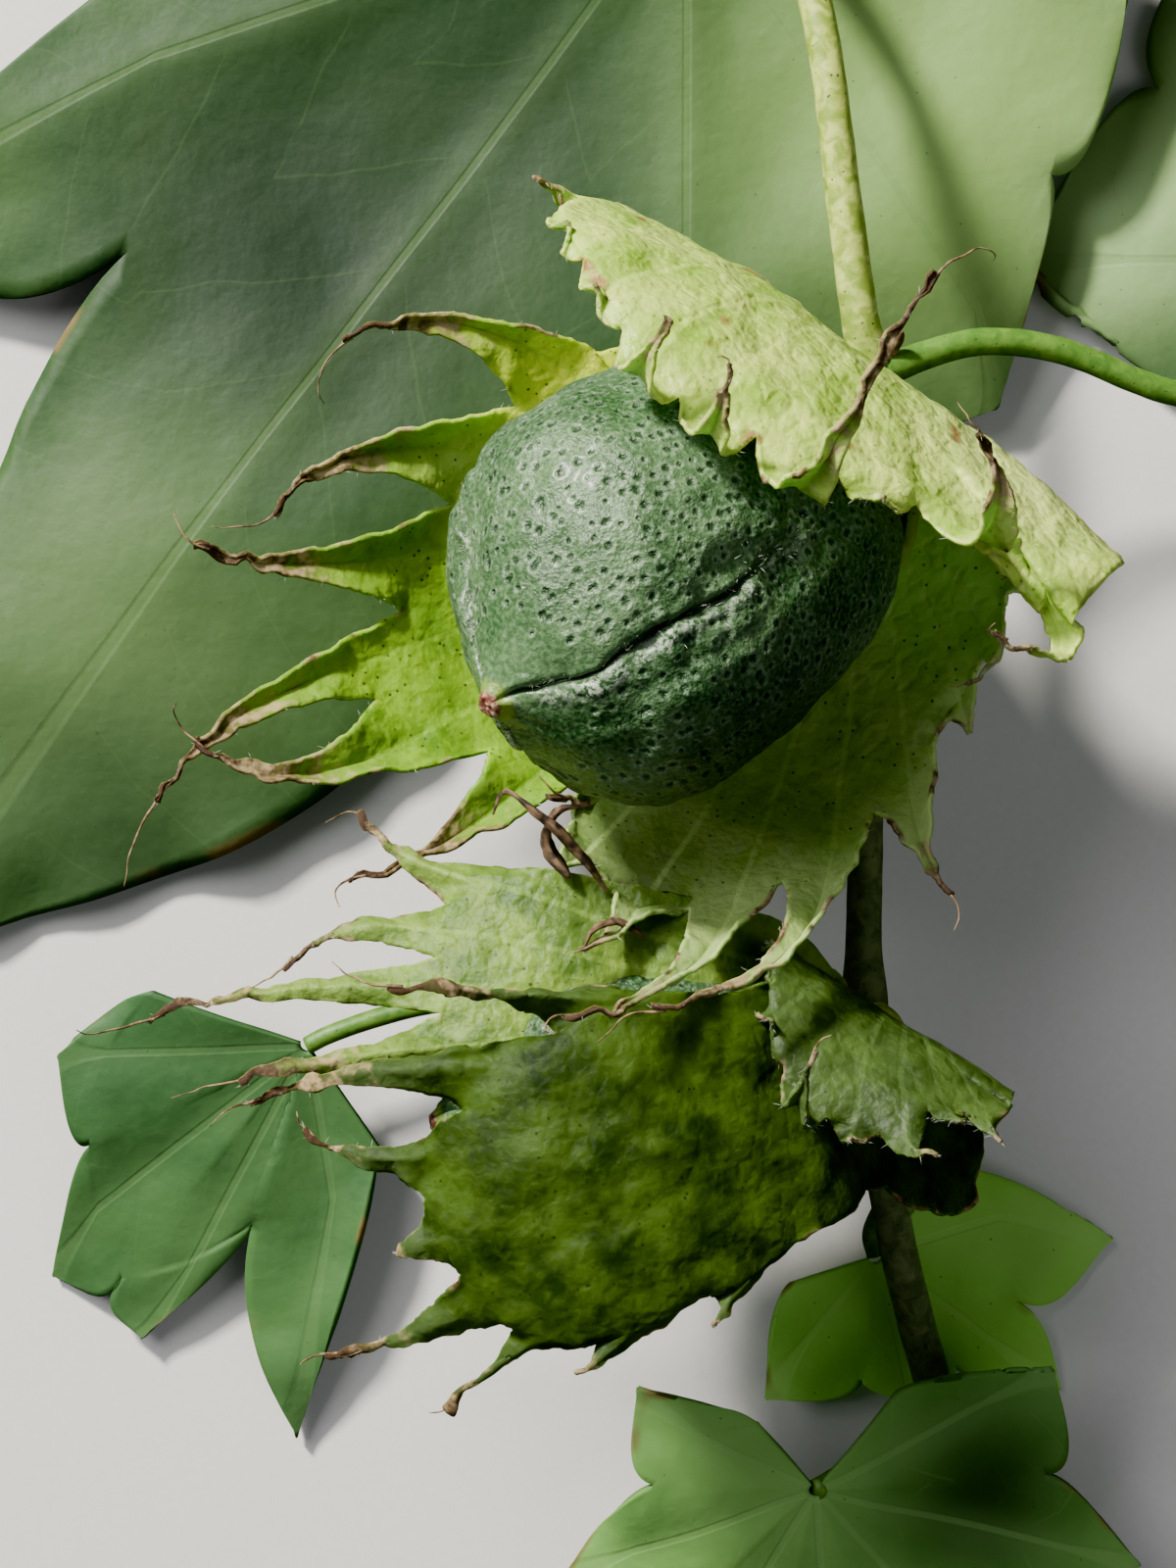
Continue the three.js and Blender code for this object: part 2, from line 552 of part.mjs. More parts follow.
// The stalk of each leaf: its route, its radius at the stem and at the leaf, and its steps. It is
// cut clear of the stem and of its own leaf, whose base it enters between the two heels.
const base = (name, x = 0, y = 0, z = 0) => leaves[name].base.clone().add(point(x, y, z));
const STALKS = {
  leaf_top: {
    path: [
      point(24, 35.6, 18.4), point(23.2, 38, 19), point(21.6, 48.3, 20.4), point(19.4, 64, 21),
      point(17, 73, 19), point(13.8, 79.5, 13.5), base("leaf_top", 1.8, 1.4, 0.6), base("leaf_top"),
    ],
    foot: 1.6, top: 1.25, steps: 14,
  },
  leaf_left: {
    path: [
      point(23, -20, 14.4), point(14, -19, 10.5), point(0, -18.5, 8), point(-14, -19.4, 6.8),
      base("leaf_left", 2, 1, 0.2), base("leaf_left"),
    ],
    foot: 1.1, top: 0.8, steps: 12,
  },
  leaf_behind: {
    path: [
      point(24.2, -21, 13.6), point(27.5, -26, 9.5), point(27.5, -34, 5.5),
      base("leaf_behind", -0.4, 2, 0.3), base("leaf_behind"),
    ],
    foot: 0.9, top: 0.7, steps: 8,
  },
  leaf_right: {
    path: [
      point(24.9, 35, 18.2), point(33, 37.6, 16.5), point(40, 37.2, 15), point(50, 33.8, 13),
      point(60, 33, 11), point(68, 37, 8.5), base("leaf_right", 1, -2, 0.2), base("leaf_right"),
    ],
    foot: 1.2, top: 1, steps: 12,
  },
  leaf_foot: {
    path: [
      point(33, -61, 3.4), point(28, -61, 4.6), point(23, -60.6, 6.6),
      base("leaf_foot", 0.8, 0.2, -1), base("leaf_foot"),
    ],
    foot: 1.1, top: 0.9, steps: 8,
  },
};
const fatTopStalk = limb(STALKS.leaf_top.path, STALKS.leaf_top, ROOM);
for (const [name, { path, ...look }] of Object.entries(STALKS)) {
  const own = leaf(LEAVES[name], ROOM).solid;
  const beside = name === "leaf_right" ? [fatTopStalk] : [];
  const stalk = cutClear(limb(path, look), fatStem, own, ...beside);
  add(name.replace("leaf", "petiole"), stalk, "stalk");
}

// The group's origin is the centre of its footprint, on the ground.
const bounds = new THREE.Box3().setFromObject(root);
const middle = bounds.getCenter(new THREE.Vector3());
root.position.set(-middle.x, -middle.y, -bounds.min.z);

export default root;
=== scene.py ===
# %% [markdown]
# # A cut branch of cotton
#
# The solid model gives each boll, bract, leaf and stalk its place. Here each of them is made again
# with the detail that the eye expects: pits and seams in the bolls, veins in the leaves, teeth that
# dry and curl on the bracts, and fine hairs. Everything is worked out in millimetres on the page,
# seen from above, and moved into the model's frame, in metres, at the end.

# %% Load the solid model
import bisect
import math
import random

import bmesh
import bpy
from mathutils import Matrix, Quaternion, Vector, kdtree, noise


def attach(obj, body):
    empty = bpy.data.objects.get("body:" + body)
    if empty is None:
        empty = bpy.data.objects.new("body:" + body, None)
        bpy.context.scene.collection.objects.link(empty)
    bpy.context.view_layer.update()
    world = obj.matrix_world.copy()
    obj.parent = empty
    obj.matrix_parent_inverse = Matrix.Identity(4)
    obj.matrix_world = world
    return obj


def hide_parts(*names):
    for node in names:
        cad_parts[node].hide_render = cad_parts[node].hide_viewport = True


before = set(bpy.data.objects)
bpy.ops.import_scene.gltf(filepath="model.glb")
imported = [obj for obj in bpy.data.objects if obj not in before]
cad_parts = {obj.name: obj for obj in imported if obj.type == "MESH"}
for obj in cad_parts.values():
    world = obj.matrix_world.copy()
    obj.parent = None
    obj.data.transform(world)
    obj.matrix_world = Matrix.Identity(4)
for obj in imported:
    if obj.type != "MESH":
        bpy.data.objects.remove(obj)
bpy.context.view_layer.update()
print("solids:", len(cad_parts))

MM = 0.001
PAGE = Vector((-7.046, -1.826, 0))


def to_model(x, y, z):
    """A place on the page, in millimetres, as a place in the model, in metres."""
    return (Vector((x, y, z)) + PAGE) * MM


# %% [markdown]
# The branch lies on its back, so the camera looks straight down. The picture is 125 mm high at the
# height of the larger boll, and the camera stands 280 mm above that.

# %% Camera
EYE_HEIGHT = 316
SHARP_HEIGHT = 36
PICTURE_HEIGHT = 124.8

lens = bpy.data.cameras.new("eye")
lens.sensor_width = 36
lens.lens = lens.sensor_width * (EYE_HEIGHT - SHARP_HEIGHT) / PICTURE_HEIGHT
camera = bpy.data.objects.new("camera", lens)
camera.location = to_model(0, 0, EYE_HEIGHT)
bpy.context.scene.collection.objects.link(camera)
bpy.context.scene.camera = camera
print("lens:", round(lens.lens, 2), "mm")

# %% [markdown]
# Shader maths reads best as plain sums. A Shade stands for a number that changes over a surface, and
# each sum with it adds the Math node that works it out.


# %% A number that varies over a surface
class Shade:
    """A socket that can be added, multiplied and compared."""

    def __init__(self, finish, socket):
        self.finish = finish
        self.socket = socket

    def math(self, operation, *terms):
        values = dict(enumerate(terms))
        node = self.finish.add("ShaderNodeMath", {"operation": operation}, values)
        return Shade(self.finish, node.outputs[0])

    def __add__(self, other):
        return self.math("ADD", self, other)

    def __radd__(self, other):
        return self.math("ADD", other, self)

    def __sub__(self, other):
        return self.math("SUBTRACT", self, other)

    def __rsub__(self, other):
        return self.math("SUBTRACT", other, self)

    def __mul__(self, other):
        return self.math("MULTIPLY", self, other)

    def __rmul__(self, other):
        return self.math("MULTIPLY", other, self)

    def __truediv__(self, other):
        return self.math("DIVIDE", self, other)

    def __abs__(self):
        return self.math("ABSOLUTE", self)

    def part(self):
        """What is left after whole numbers are taken away."""
        return self.math("FRACT", self)

    def most(self, other):
        return self.math("MAXIMUM", self, other)

    def rise(self, low, high):
        """0 below the lower value, 1 above the higher, and smooth between. It falls if they swap."""
        settings = {"interpolation_type": "SMOOTHSTEP"}
        values = {"Value": self, "From Min": low, "From Max": high}
        node = self.finish.add("ShaderNodeMapRange", settings, values)
        return Shade(self.finish, node.outputs["Result"])


# %% A finish and its nodes
MIX_SHARE, MIX_FIRST, MIX_SECOND, MIX_RESULT = 0, 6, 7, 2


class Finish:
    """A material under construction."""

    def __init__(self, name, **fixed):
        self.material = bpy.data.materials.new(name)
        self.material.use_nodes = True
        self.tree = self.material.node_tree
        self.shader = self.tree.nodes["Principled BSDF"]
        for socket, value in fixed.items():
            self.shader.inputs[socket.replace("_", " ")].default_value = value
        self.place = self.add("ShaderNodeTexCoord").outputs["Object"]

    def add(self, kind, settings=None, values=None):
        """One node: its settings first, then the values or links of its sockets."""
        node = self.tree.nodes.new(kind)
        for name, value in (settings or {}).items():
            setattr(node, name, value)
        for name, value in (values or {}).items():
            self.feed(node.inputs[name], value)
        return node

    def feed(self, socket, value):
        source = value.socket if isinstance(value, Shade) else value
        if isinstance(source, bpy.types.NodeSocket):
            self.tree.links.new(source, socket)
        else:
            socket.default_value = source

    def noise(self, size, detail=2, **more):
        """Soft noise. Its size is in millimetres."""
        values = {"Vector": self.place, "Scale": 1 / (size * MM), "Detail": detail, **more}
        return Shade(self, self.add("ShaderNodeTexNoise", None, values).outputs["Fac"])

    def specks(self, spacing, feature="F1"):
        """Distance to the nearest of many scattered dots, as a share of their spacing."""
        values = {"Vector": self.place, "Scale": 1 / (spacing * MM)}
        node = self.add("ShaderNodeTexVoronoi", {"feature": feature}, values)
        return Shade(self, node.outputs["Distance"])

    def patch(self, spot, size):
        """1 at a place on the page, falling softly to 0 at a distance from it, in millimetres."""
        values = {0: self.place, 1: to_model(*spot)}
        away = self.add("ShaderNodeVectorMath", {"operation": "DISTANCE"}, values).outputs["Value"]
        return Shade(self, away).rise(size * MM, 0)

    def attribute(self, name):
        node = self.add("ShaderNodeAttribute", {"attribute_name": name})
        return Shade(self, node.outputs["Fac"])

    def blend(self, share, first, second):
        """Two colours mixed by a share of the second."""
        values = {MIX_SHARE: share, MIX_FIRST: colour(first), MIX_SECOND: colour(second)}
        return self.add("ShaderNodeMix", {"data_type": "RGBA"}, values).outputs[MIX_RESULT]

    def coats(self, tint, *coats):
        """A colour with others laid over it one by one, each by its own share."""
        for share, coat in coats:
            tint = self.blend(share, tint, coat)
        return tint

    def relief(self, *layers):
        """Relief upon relief. Each has a height from 0 to 1, a strength, and a depth in millimetres."""
        normal = None
        for height, strength, depth in layers:
            values = {"Height": height, "Strength": strength, "Distance": depth * MM}
            if normal is not None:
                values["Normal"] = normal
            normal = self.add("ShaderNodeBump", None, values).outputs["Normal"]
        return normal

    def wear(self, **sockets):
        """Sets what varies on the shader itself, and gives the finished material."""
        for socket, value in sockets.items():
            self.feed(self.shader.inputs[socket.replace("_", " ")], value)
        return self.material


def colour(value):
    """A colour given by three numbers gets its opacity. A socket passes through."""
    return (*value, 1) if isinstance(value, tuple) and len(value) == 3 else value


# %% [markdown]
# A pale floor and soft light make the studio. The sun of the photograph comes from the upper left,
# low down, so the brightest lamp hangs there. A large weak one opposite fills the shadows. Under the
# real branch all was shade, so the floor takes light but throws none back on it.

# %% Floor
FLOOR_SIZE = 3.0
FLOOR_DROP = 0.2


def link(name, mesh_data, *materials):
    """A new object that holds a mesh, at the origin."""
    piece = bpy.data.objects.new(name, mesh_data)
    bpy.context.scene.collection.objects.link(piece)
    for material in materials:
        mesh_data.materials.append(material)
    return piece


shape = bmesh.new()
bmesh.ops.create_grid(shape, x_segments=1, y_segments=1, size=FLOOR_SIZE / 2)
bmesh.ops.translate(shape, verts=shape.verts, vec=(0, 0, -FLOOR_DROP * MM))
floor_mesh = bpy.data.meshes.new("floor")
shape.to_mesh(floor_mesh)
shape.free()
paper = Finish("pale paper", Roughness=0.9)
grain = paper.noise(0.8, detail=3)
paper.wear(Base_Color=paper.blend(grain, (0.74, 0.73, 0.7), (0.8, 0.79, 0.77)))
floor = link("floor", floor_mesh, paper.material)
floor.visible_diffuse = False
floor.visible_glossy = False

# %% Lamps
LAMPS = {
    # name: place in metres from the branch, size in metres, watts, colour, whether gloss shows it
    "sun": ((-0.5, 0.62, 0.54), 0.12, 38, (1, 0.96, 0.87), True),
    "window": ((-0.6, 0.4, 0.7), 0.6, 10, (0.98, 0.99, 1), True),
    "sky": ((0.7, -0.45, 0.8), 0.9, 3.5, (0.96, 0.98, 1), False),
}
SKY_STRENGTH = 0.15
CONTRAST = "AgX - Punchy"
for name, (place, size, power, tint, glossy) in LAMPS.items():
    lamp = bpy.data.lights.new(name, "AREA")
    lamp.size = size
    lamp.energy = power
    lamp.color = tint
    holder = bpy.data.objects.new(name, lamp)
    holder.location = place
    holder.visible_glossy = glossy
    holder.rotation_mode = "QUATERNION"
    holder.rotation_quaternion = Vector(place).to_track_quat("Z", "Y")
    bpy.context.scene.collection.objects.link(holder)

world = bpy.data.worlds.new("studio")
world.use_nodes = True
world.node_tree.nodes["Background"].inputs["Color"].default_value = (0.9, 0.95, 1, 1)
world.node_tree.nodes["Background"].inputs["Strength"].default_value = SKY_STRENGTH
world.cycles_visibility.glossy = False
bpy.context.scene.world = world
bpy.context.scene.view_settings.look = CONTRAST

# %% [markdown]
# Every limb and every blade follows a smooth line through a few points. This is the centripetal
# curve, which never loops or overshoots between points that lie close together.


# %% A smooth route
def between(before, start, end, after, share):
    """A place between two points of a route, on the curve through all four."""
    first, middle, last = (math.sqrt((b - a).length) for a, b in
                           ((before, start), (start, end), (end, after)))
    leave = (start - before) / first - (end - before) / (first + middle) + (end - start) / middle
    arrive = (end - start) / middle - (after - start) / (middle + last) + (after - end) / last
    square, cube = share ** 2, share ** 3
    return (start * (2 * cube - 3 * square + 1) + end * (3 * square - 2 * cube)
            + leave * middle * (cube - 2 * square + share) + arrive * middle * (cube - square))


class Route:
    """A smooth curve, walked by distance."""

    def __init__(self, points, fine=40):
        spots = [Vector(one) for one in points]
        spots = [2 * spots[0] - spots[1], *spots, 2 * spots[-1] - spots[-2]]
        self.spots = [spots[1]]
        for four in zip(spots, spots[1:], spots[2:], spots[3:]):
            self.spots += [between(*four, (step + 1) / fine) for step in range(fine)]
        steps = [b - a for a, b in zip(self.spots, self.spots[1:])]
        self.headings = [(a + b).normalized() for a, b in zip(steps[:1] + steps, steps + steps[-1:])]
        self.travelled = [0.0]
        for step in steps:
            self.travelled.append(self.travelled[-1] + step.length)
        self.length = self.travelled[-1]

    def at(self, distance):
        """The place and the heading at a distance. Past its ends the route goes straight on."""
        walked = min(max(distance, 0), self.length)
        last = len(self.spots) - 2
        index = min(max(bisect.bisect_right(self.travelled, walked) - 1, 0), last)
        span = self.travelled[index + 1] - self.travelled[index]
        share = (walked - self.travelled[index]) / span
        spot = self.spots[index].lerp(self.spots[index + 1], share)
        heading = self.headings[index].lerp(self.headings[index + 1], share).normalized()
        return spot + heading * (distance - walked), heading


# %% [markdown]
# All meshes end the same way: they leave the page for the model's frame, ride on the branch's body,
# hide the solid they stand for, if they have one, and take their finish. Each prints how many faces it
# has.

# %% Finish a piece
PIECES = {}


def settle(name, shape, material, node=None):
    """Turns a bmesh into a piece of the branch."""
    bmesh.ops.transform(shape, matrix=Matrix.Translation(PAGE), verts=shape.verts)
    bmesh.ops.scale(shape, vec=(MM, MM, MM), verts=shape.verts)
    for face in shape.faces:
        face.smooth = True
    data = bpy.data.meshes.new(name)
    shape.to_mesh(data)
    shape.free()
    piece = link(name, data, material)
    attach(piece, "root")
    if node:
        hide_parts(node)
    PIECES[name] = piece
    print(name, "faces:", len(data.polygons))
    return piece


def thicken(piece, thickness):
    """A sheet gets its two faces and its rim. The thickness is in millimetres."""
    solidify = piece.modifiers.new("thickness", "SOLIDIFY")
    solidify.thickness = thickness * MM
    solidify.offset = 0


# %% [markdown]
# A limb is a grid bent round a route: its width becomes the girth and its height the way along. The
# frame that carries it turns only as much as the route does, so the tube never twists.

# %% A limb
GIRTH = 20
SAME_SPOT = 1e-4
LUMPS_ALONG, LUMPS_ROUND = 0.35, 2


def walk(route, steps):
    """Even stations along a route: place, heading, and two arms across it that don't twist."""
    _, heading = route.at(0)
    arm = heading.orthogonal().normalized()
    for step in range(steps + 1):
        place, ahead = route.at(route.length * step / steps)
        arm.rotate(heading.rotation_difference(ahead))
        heading = ahead
        yield place, heading, arm.copy(), heading.cross(arm)


def add_limb(shape, path, radius, steps=60, girth=GIRTH, rough=0.0):
    """Adds a tube to a bmesh. The radius is a function of the share of the way along."""
    stations = list(walk(Route(path), steps))
    made = bmesh.ops.create_grid(shape, x_segments=girth, y_segments=steps, size=1)
    for vert in made["verts"]:
        around = math.pi * vert.co.x
        step = round((vert.co.y + 1) / 2 * steps)
        place, heading, arm, other = stations[step]
        out = arm * math.cos(around) + other * math.sin(around)
        size = radius(step / steps)
        lump = rough * noise.noise(place * LUMPS_ALONG + out * LUMPS_ROUND)
        vert.co = place + out * size * (1 + lump)
    bmesh.ops.remove_doubles(shape, verts=made["verts"], dist=SAME_SPOT)


def close_ends(shape):
    """Closes the open ends of tubes, and turns every face outwards."""
    rims = [edge for edge in shape.edges if edge.is_boundary]
    bmesh.ops.holes_fill(shape, edges=rims, sides=0)
    bmesh.ops.recalc_face_normals(shape, faces=shape.faces)


# %% [markdown]
# A blade is a fan of grids about its base, one for each tooth or lobe. `lie` says where a flat spot
# of the blade goes in space: the blade follows a spine and is wrapped across it.


# %% Where a blade lies
def lie(spine, across, wrap=(0, 0), wave=(0, 1)):
    """Gives the function from a flat spot, right and forward of the base, to its place."""
    route = Route(spine)
    across = Vector(across)

    def place(right, forward):
        middle, heading = route.at(forward)
        side = (across - heading * across.dot(heading)).normalized()
        front = side.cross(heading)
        share = min(max(forward / route.length, 0), 1)
        bend = wrap[0] + (wrap[1] - wrap[0]) * share
        turn = right * bend
        sideways, raised = right, 0
        if abs(turn) > 1e-6:
            sideways, raised = math.sin(turn) / bend, (1 - math.cos(turn)) / bend
        raised += wave[0] * math.sin(right / wave[1] + forward / (2 * wave[1]))
        return middle + side * sideways + front * raised

    return place


def on_flat(place, angle, reach):
    return place(reach * math.sin(angle), reach * math.cos(angle))


# %% [markdown]
# Each tooth of a bract grows on from the margin. It is carried by a small frame that curls and
# sweeps a little at every step, narrows to a thread, and folds along its middle.

# %% A tooth
TOOTH_TIP = 0.12
TOOTH_FOLD = 0.7


def tooth(place, lobe, rows):
    """Gives the place at a share across, from -1 to 1, and a row beyond the margin."""

    def edge(u):
        return on_flat(place, lobe["angle"](u), lobe["reach"](u))

    start = edge(0)
    ahead = (start - on_flat(place, lobe["angle"](0), lobe["reach"](0) - 1)).normalized()
    half_width = (edge(1) - edge(-1)).length / 2
    side = edge(1) - edge(-1)
    side = (side - ahead * side.dot(ahead)).normalized()
    front = side.cross(ahead)
    length, curl, sweep = lobe["point"]
    spot = start.copy()
    stations = [(spot.copy(), side.copy(), front.copy(), ahead.copy())]
    for step in range(1, rows + 1):
        share = step / rows
        curled = Quaternion(side, math.radians(curl) * 3 * (1 - share) ** 2 / rows)
        swept = Quaternion(front, -math.radians(sweep) * 2 * share / rows)
        for arm in (ahead, side, front):
            arm.rotate(curled)
            arm.rotate(swept)
        spot += ahead * length / rows
        stations.append((spot.copy(), side.copy(), front.copy(), ahead.copy()))
    lobe.update(tip=stations[-1], half_width=half_width, long=length)

    def beyond(u, row):
        share = row / rows
        middle, right, up, _ = stations[row]
        half = TOOTH_TIP + (half_width - TOOTH_TIP) * (1 - share) ** lobe["taper"]
        fold = TOOTH_FOLD * min(1, 3 * share) * abs(u) * half
        off = edge(u) - start - stations[0][1] * u * half_width
        return middle + right * u * half + up * fold + off * (1 - share) ** 3

    return beyond


# %% [markdown]
# A leaf's lobes are wide. They keep to the lie of the blade and close to a point.

# %% A lobe
LOBE_TIP = 0.02
LOBE_TAPER = 1.6
LOBE_SWELL = 0.16


def pointed_lobe(place, lobe, rows):
    """Gives the place at a share across and a row beyond the notches."""

    def flat(angle, reach):
        return Vector((reach * math.sin(angle), reach * math.cos(angle)))

    def edge(u):
        return flat(lobe["angle"](u), lobe["reach"](u))

    angle, reach = lobe["point"]
    tip = flat(math.radians(angle), reach)
    lobe.update(half_width=(edge(1) - edge(-1)).length / 2, long=(tip - edge(0)).length)

    def beyond(u, row):
        share = row / rows
        width = (1 - share ** LOBE_TAPER) * (1 + LOBE_SWELL * math.sin(math.pi * share))
        spot = edge(0).lerp(tip, share) + (edge(u) - edge(0)) * max(width, LOBE_TIP)
        return place(spot.x, spot.y)

    return beyond


# %% [markdown]
# The blade also writes down, on each vertex, what its finish needs to know: how far the vein is, how
# far the base is, and how close the tip. A shader draws veins from that wherever the blade bends.


# %% A blade
NO_VEIN = 3
TIP_LEAST, TIP_LONG = 0.55, 30
SECTOR_GAP = 0.002


def add_notes(shape, *names):
    """New numbers on every vertex, for a finish to read."""
    return {name: shape.verts.layers.float.new(name) for name in names}


def push(shape, moves):
    """Moves every vertex by a step of its own."""
    for vert, move in zip(shape.verts, moves):
        vert.co += move


def add_blade(shape, place, sectors, inner, rows):
    """Adds the sectors of one blade to a bmesh, side by side."""
    notes = add_notes(shape, "vein", "along", "tip", "rim")
    for sector in sectors:
        start, end = sector["from"], sector["to"]

        def mix(index, u, start=start, end=end):
            return start[index] + (end[index] - start[index]) * (u + 1) / 2

        sector["angle"] = lambda u, mix=mix: math.radians(mix(0, u))
        sector["reach"] = lambda u, mix=mix: mix(1, u)
        extra = sector["extra"]
        outside = sector["beyond"](place, sector, extra) if extra else None
        made = bmesh.ops.create_grid(
            shape, x_segments=sector["columns"], y_segments=rows + extra, size=1)
        fan = math.radians(end[0] - start[0]) / 2
        for vert in made["verts"]:
            u = vert.co.x
            row = round((vert.co.y + 1) / 2 * (rows + extra))
            margin = sector["reach"](u)
            reach = inner + (margin - inner) * min(row / rows, 1)
            beyond = max(row - rows, 0) / max(extra, 1)
            if beyond > 0:
                vert.co = outside(u, row - rows)
                half = sector["half_width"] * (1 - beyond) ** 1.5
            else:
                vert.co = on_flat(place, sector["angle"](u), reach)
                half = reach * math.sin(fan)
            long = sector.get("long", 0)
            vert[notes["vein"]] = abs(u) * half if extra else NO_VEIN
            vert[notes["along"]] = reach + beyond * long
            vert[notes["tip"]] = beyond * min(1, TIP_LEAST + long / TIP_LONG)
            vert[notes["rim"]] = margin - reach + (1 - abs(u)) * half * min(extra, 1)
    bmesh.ops.remove_doubles(shape, verts=shape.verts, dist=SECTOR_GAP)
    bmesh.ops.recalc_face_normals(shape, faces=shape.faces)
    shape.normal_update()
    return notes


# %% [markdown]
# The finishes come next, because every piece needs one. Bracts, leaves and bolls carry dark glands,
# tiny dots that are scattered through all green parts of a cotton plant.

# %% Finish of the boll
# Painted shade over the lower side of the larger boll, and painted sheen on its upper side: a place on
# the page and a size for each.
BOLL_SHADE = ((13, -1, 38), 24)
BOLL_PAINTED_SHEEN = ((1, 16, 44), 15)
BOLL_TINTS = {
    "green": (0.017, 0.062, 0.016), "bloom_and_sheen": (0.13, 0.23, 0.1), "shade": (0.004, 0.016, 0.004),
    "ring": (0.3, 0.42, 0.27), "pit": (0.006, 0.028, 0.009), "lip": (0.45, 0.53, 0.4),
    "seam": (0.005, 0.014, 0.006), "tip": (0.17, 0.27, 0.04), "scab": (0.16, 0.045, 0.025),
    "pale scab": (0.5, 0.3, 0.2),
}


def boll_skin(tints):
    """Dark waxy green with a pale bloom, painted sheen above and painted shade below, darker in each
    pit. Painted shade fills the seams, and painted highlights lie on one lip and round the pits. The
    tip is dry.
    """
    look = Finish("boll skin", IOR=1.45, Coat_Roughness=0.22)
    broad, fine = look.noise(6, detail=3), look.noise(0.4, detail=3)
    pit, seam, tip, lip, calm = (look.attribute(one) for one in ("pit", "seam", "tip", "lip", "calm"))
    # Random pale bloom, with a patch of painted sheen laid over it.
    bloom_and_sheen = broad.rise(0.35, 0.65) * 0.4 + fine.rise(0.35, 0.7) * 0.6 + look.patch(*BOLL_PAINTED_SHEEN) * 0.45
    ragged = pit + (look.noise(0.3) - 0.5) * 1.8
    ring = ragged.rise(1.1, 2) * ragged.rise(3.4, 2.2)
    shade = look.patch(*BOLL_SHADE)
    skin = look.coats(
        look.blend(bloom_and_sheen, tints["green"], tints["bloom_and_sheen"]),
        # Painted shade over the lower side of the boll.
        (shade * 0.93, tints["shade"]),
        # Painted highlights: a pale ring round each pit, only where the boll is lit.
        (ring * bloom_and_sheen * (1 - shade) * 0.5, tints["ring"]),
        (ragged.rise(1.6, 0.6) * 0.8, tints["pit"]),
        # Painted highlight on the lip along one side of each seam.
        (lip * fine.rise(0.42, 0.6) * 0.7, tints["lip"]),
        # Painted shade in the seam cracks.
        (seam * (0.25 + fine.rise(0.4, 0.55) * 0.65), tints["seam"]),
        ((tip + (fine - 0.5) * 0.4).rise(0.1, 0.5), tints["tip"]),
        ((tip + (fine - 0.5) * 0.3).rise(0.75, 0.9),
         look.blend(fine.rise(0.4, 0.65), tints["scab"], tints["pale scab"])))
    relief = look.relief(
        (look.noise(0.25, detail=2), 1 - calm * 0.7, 0.12),
        (look.noise(0.7, detail=2), 0.7, 0.18),
        (ragged.rise(0.4, 1.8) + ring * 0.3, 0.9, 0.11))
    rough = 0.3 + fine * 0.2 + tip * 0.35 - ring * 0.08 - calm * 0.16
    return look.wear(Base_Color=skin, Normal=relief, Roughness=rough, Coat_Weight=0.15 - tip * 0.15)


# %% [markdown]
# Bracts and leaves let light through, so a little of it is scattered below their surface. A patch is a
# spot of colour laid over the tissue: its place on the page, its size and its colour. Most patches are
# painted light and shade: painted shade where a blade lies in shadow, and painted light where light
# shines through it or falls on it.

# %% Finish of the bracts
GLAND_DARK = (0.014, 0.024, 0.006)
RUST = (0.3, 0.12, 0.05)
STRAW_DARK, STRAW_PALE, STRAW_TIP = (0.085, 0.05, 0.02), (0.38, 0.29, 0.15), (0.06, 0.03, 0.018)
BRACT_GLOW = {"Subsurface_Weight": 0.5, "Subsurface_Scale": 0.001, "Subsurface_Radius": (0.7, 1, 0.2)}


def stronger(tint, factor, grey=0.0):
    """A colour times a factor, with a little grey added."""
    return tuple(factor * one + grey for one in tint)


